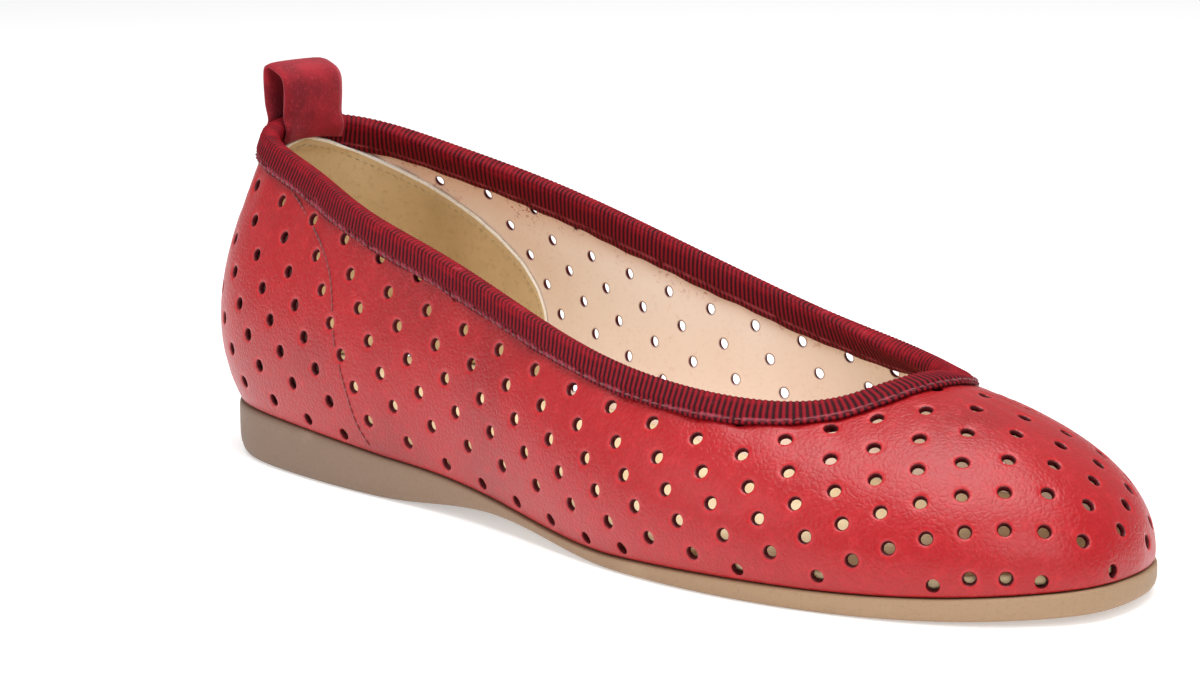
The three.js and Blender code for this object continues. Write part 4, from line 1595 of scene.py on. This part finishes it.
class Studio:
    """Pale floor, soft lights and the camera at the photograph's angle."""

    eye = (705.94, -580.06, 197.3)
    aim = (112.0, -6.0, 37.5)
    roll = -0.49
    lens = 120.0

    def camera(self) -> None:
        """Places the camera."""
        data = bpy.data.cameras.new("camera")
        data.sensor_width = 36.0
        data.lens = self.lens
        data.clip_start, data.clip_end = 0.01, 50.0
        roll = math.radians(self.roll)
        back = (Vector(self.eye) - Vector(self.aim)).normalized()
        right = Vector((0.0, 0.0, 1.0)).cross(back).normalized()
        up = back.cross(right)
        right_rolled = right * math.cos(roll) + up * math.sin(roll)
        up_rolled = up * math.cos(roll) - right * math.sin(roll)
        turned = Matrix((right_rolled, up_rolled, back)).transposed().to_4x4()
        turned.translation = (Vector(self.eye) - Vector(SHOE_CENTRE)) * MM
        camera = bpy.data.objects.new("camera", data)
        bpy.context.scene.collection.objects.link(camera)
        camera.matrix_world = turned
        bpy.context.scene.camera = camera

    def floor(self) -> None:
        """Lays a wide pale floor."""
        mesh = bpy.data.meshes.new("floor")
        size = 6.0
        corners = [(-size, -size, 0), (size, -size, 0), (size, size, 0), (-size, size, 0)]
        mesh.from_pydata(corners, [], [(0, 1, 2, 3)])
        floor = bpy.data.objects.new("floor", mesh)
        bpy.context.scene.collection.objects.link(floor)
        finish = Finish("floor", Roughness=0.9, Specular_IOR_Level=0.1, Emission_Strength=0.42)
        finish.shader.inputs["Base Color"].default_value = (0.82, 0.82, 0.82, 1)
        finish.shader.inputs["Emission Color"].default_value = (1, 1, 1, 1)
        mesh.materials.append(finish.material)

    def lights(self) -> None:
        """Sets a bright even sky and soft area lights."""
        world = bpy.data.worlds.new("studio")
        world.use_nodes = True
        world.node_tree.nodes["Background"].inputs["Color"].default_value = (1, 1, 1, 1)
        world.node_tree.nodes["Background"].inputs["Strength"].default_value = 0.34
        bpy.context.scene.world = world
        for name, place, size, power in (
            ("overhead", (0.1, -0.05, 1.0), 0.9, 12.5),
            ("front", (0.9, -0.35, 0.6), 0.5, 3.5),
            ("side", (-0.35, -0.9, 0.45), 0.5, 2.2),
        ):
            data = bpy.data.lights.new(name, "AREA")
            data.size = size
            data.energy = power
            lamp = bpy.data.objects.new(name, data)
            bpy.context.scene.collection.objects.link(lamp)
            lamp.location = place
            towards = Vector((0.0, 0.0, 0.03)) - Vector(place)
            lamp.rotation_euler = towards.to_track_quat("-Z", "Y").to_euler()
        view = bpy.context.scene.view_settings
        view.view_transform = "Standard"

    def make(self) -> None:
        """Builds the stage."""
        self.camera()
        self.floor()
        self.lights()


def seam_rows(last: Last, lining: HeelLining, holes: Array) -> None:
    """Sews the ribbon, the heel lining and the quarter, and lays a line of painted shade along each quarter
    seam.
    """
    punched = last.face(holes[:, 0], holes[:, 1])
    turn = np.linspace(0, 360, 1800, endpoint=False)
    binding = Thread("burgundy_thread", colour(120, 14, 34))
    rise = last.rise_below_top(turn, 5.1)
    line, normal = last.wall(turn, rise, 1.12), last.normal(turn, rise)
    SeamLine("ribbon_stitches", binding, 2.4, 0.7, 0.2).make(line, normal)
    span = lining.edge_turns[-1] - 0.6
    turn = np.linspace(-span, span, 900)
    drop = lining.front(turn) + 2.2
    keep = drop < 40
    turn, drop = turn[keep], drop[keep]
    rise = last.rise_below_top(turn, drop)
    over = 1.35 * (1 - smooth_step(((1 - rise) * 60 - 6.2) / 2.6))
    line = last.wall(turn, rise, -last.wall_thickness - 0.12 - over - lining.thickness)
    pale = Thread("pale_thread", colour(214, 190, 140))
    SeamLine("lining_stitches", pale, 1.9, 0.6, 0.17).make(line, -last.normal(turn, rise))
    red = Thread("red_thread", colour(158, 20, 26))
    # painted shade: a dark red line of overlapping capsules laid along each quarter seam, for the shade in
    # its groove
    groove_shade = Thread("seam_groove_shade", colour(92, 6, 12))
    for side, name in ((1, "outer_quarter_stitches"), (-1, "inner_quarter_stitches")):
        rise = np.linspace(QUARTER_RISES[0], QUARTER_RISES[-1], 400)
        turn = NaturalSpline(QUARTER_RISES[::-1], QUARTER_TURNS[::-1])(rise) * side
        normal = last.normal(turn, rise)
        SeamLine(name, red, 1.9, 0.7, 0.19).make(last.wall(turn, rise, 0.06), normal, punched)
        # the painted shade line along this quarter seam
        name = name.replace("stitches", "groove_shade")
        SeamLine(name, groove_shade, 1.9, -0.5, 0.24).make(last.wall(turn, rise, -0.08), normal, punched)


def main() -> None:
    """Builds the stage and the pieces in order."""
    logging.basicConfig(level=logging.INFO, format="%(name)s %(message)s")
    last = Last()
    Studio().make()
    Outsole(last).make()
    Sock(last).make()
    upper = Upper(last, Punching())
    upper.make()
    lining = HeelLining(last)
    lining.make()
    Binding(last).make()
    PullLoop(last).make()
    seam_rows(last, lining, upper.holes)


if __name__ == "__main__":
    main()
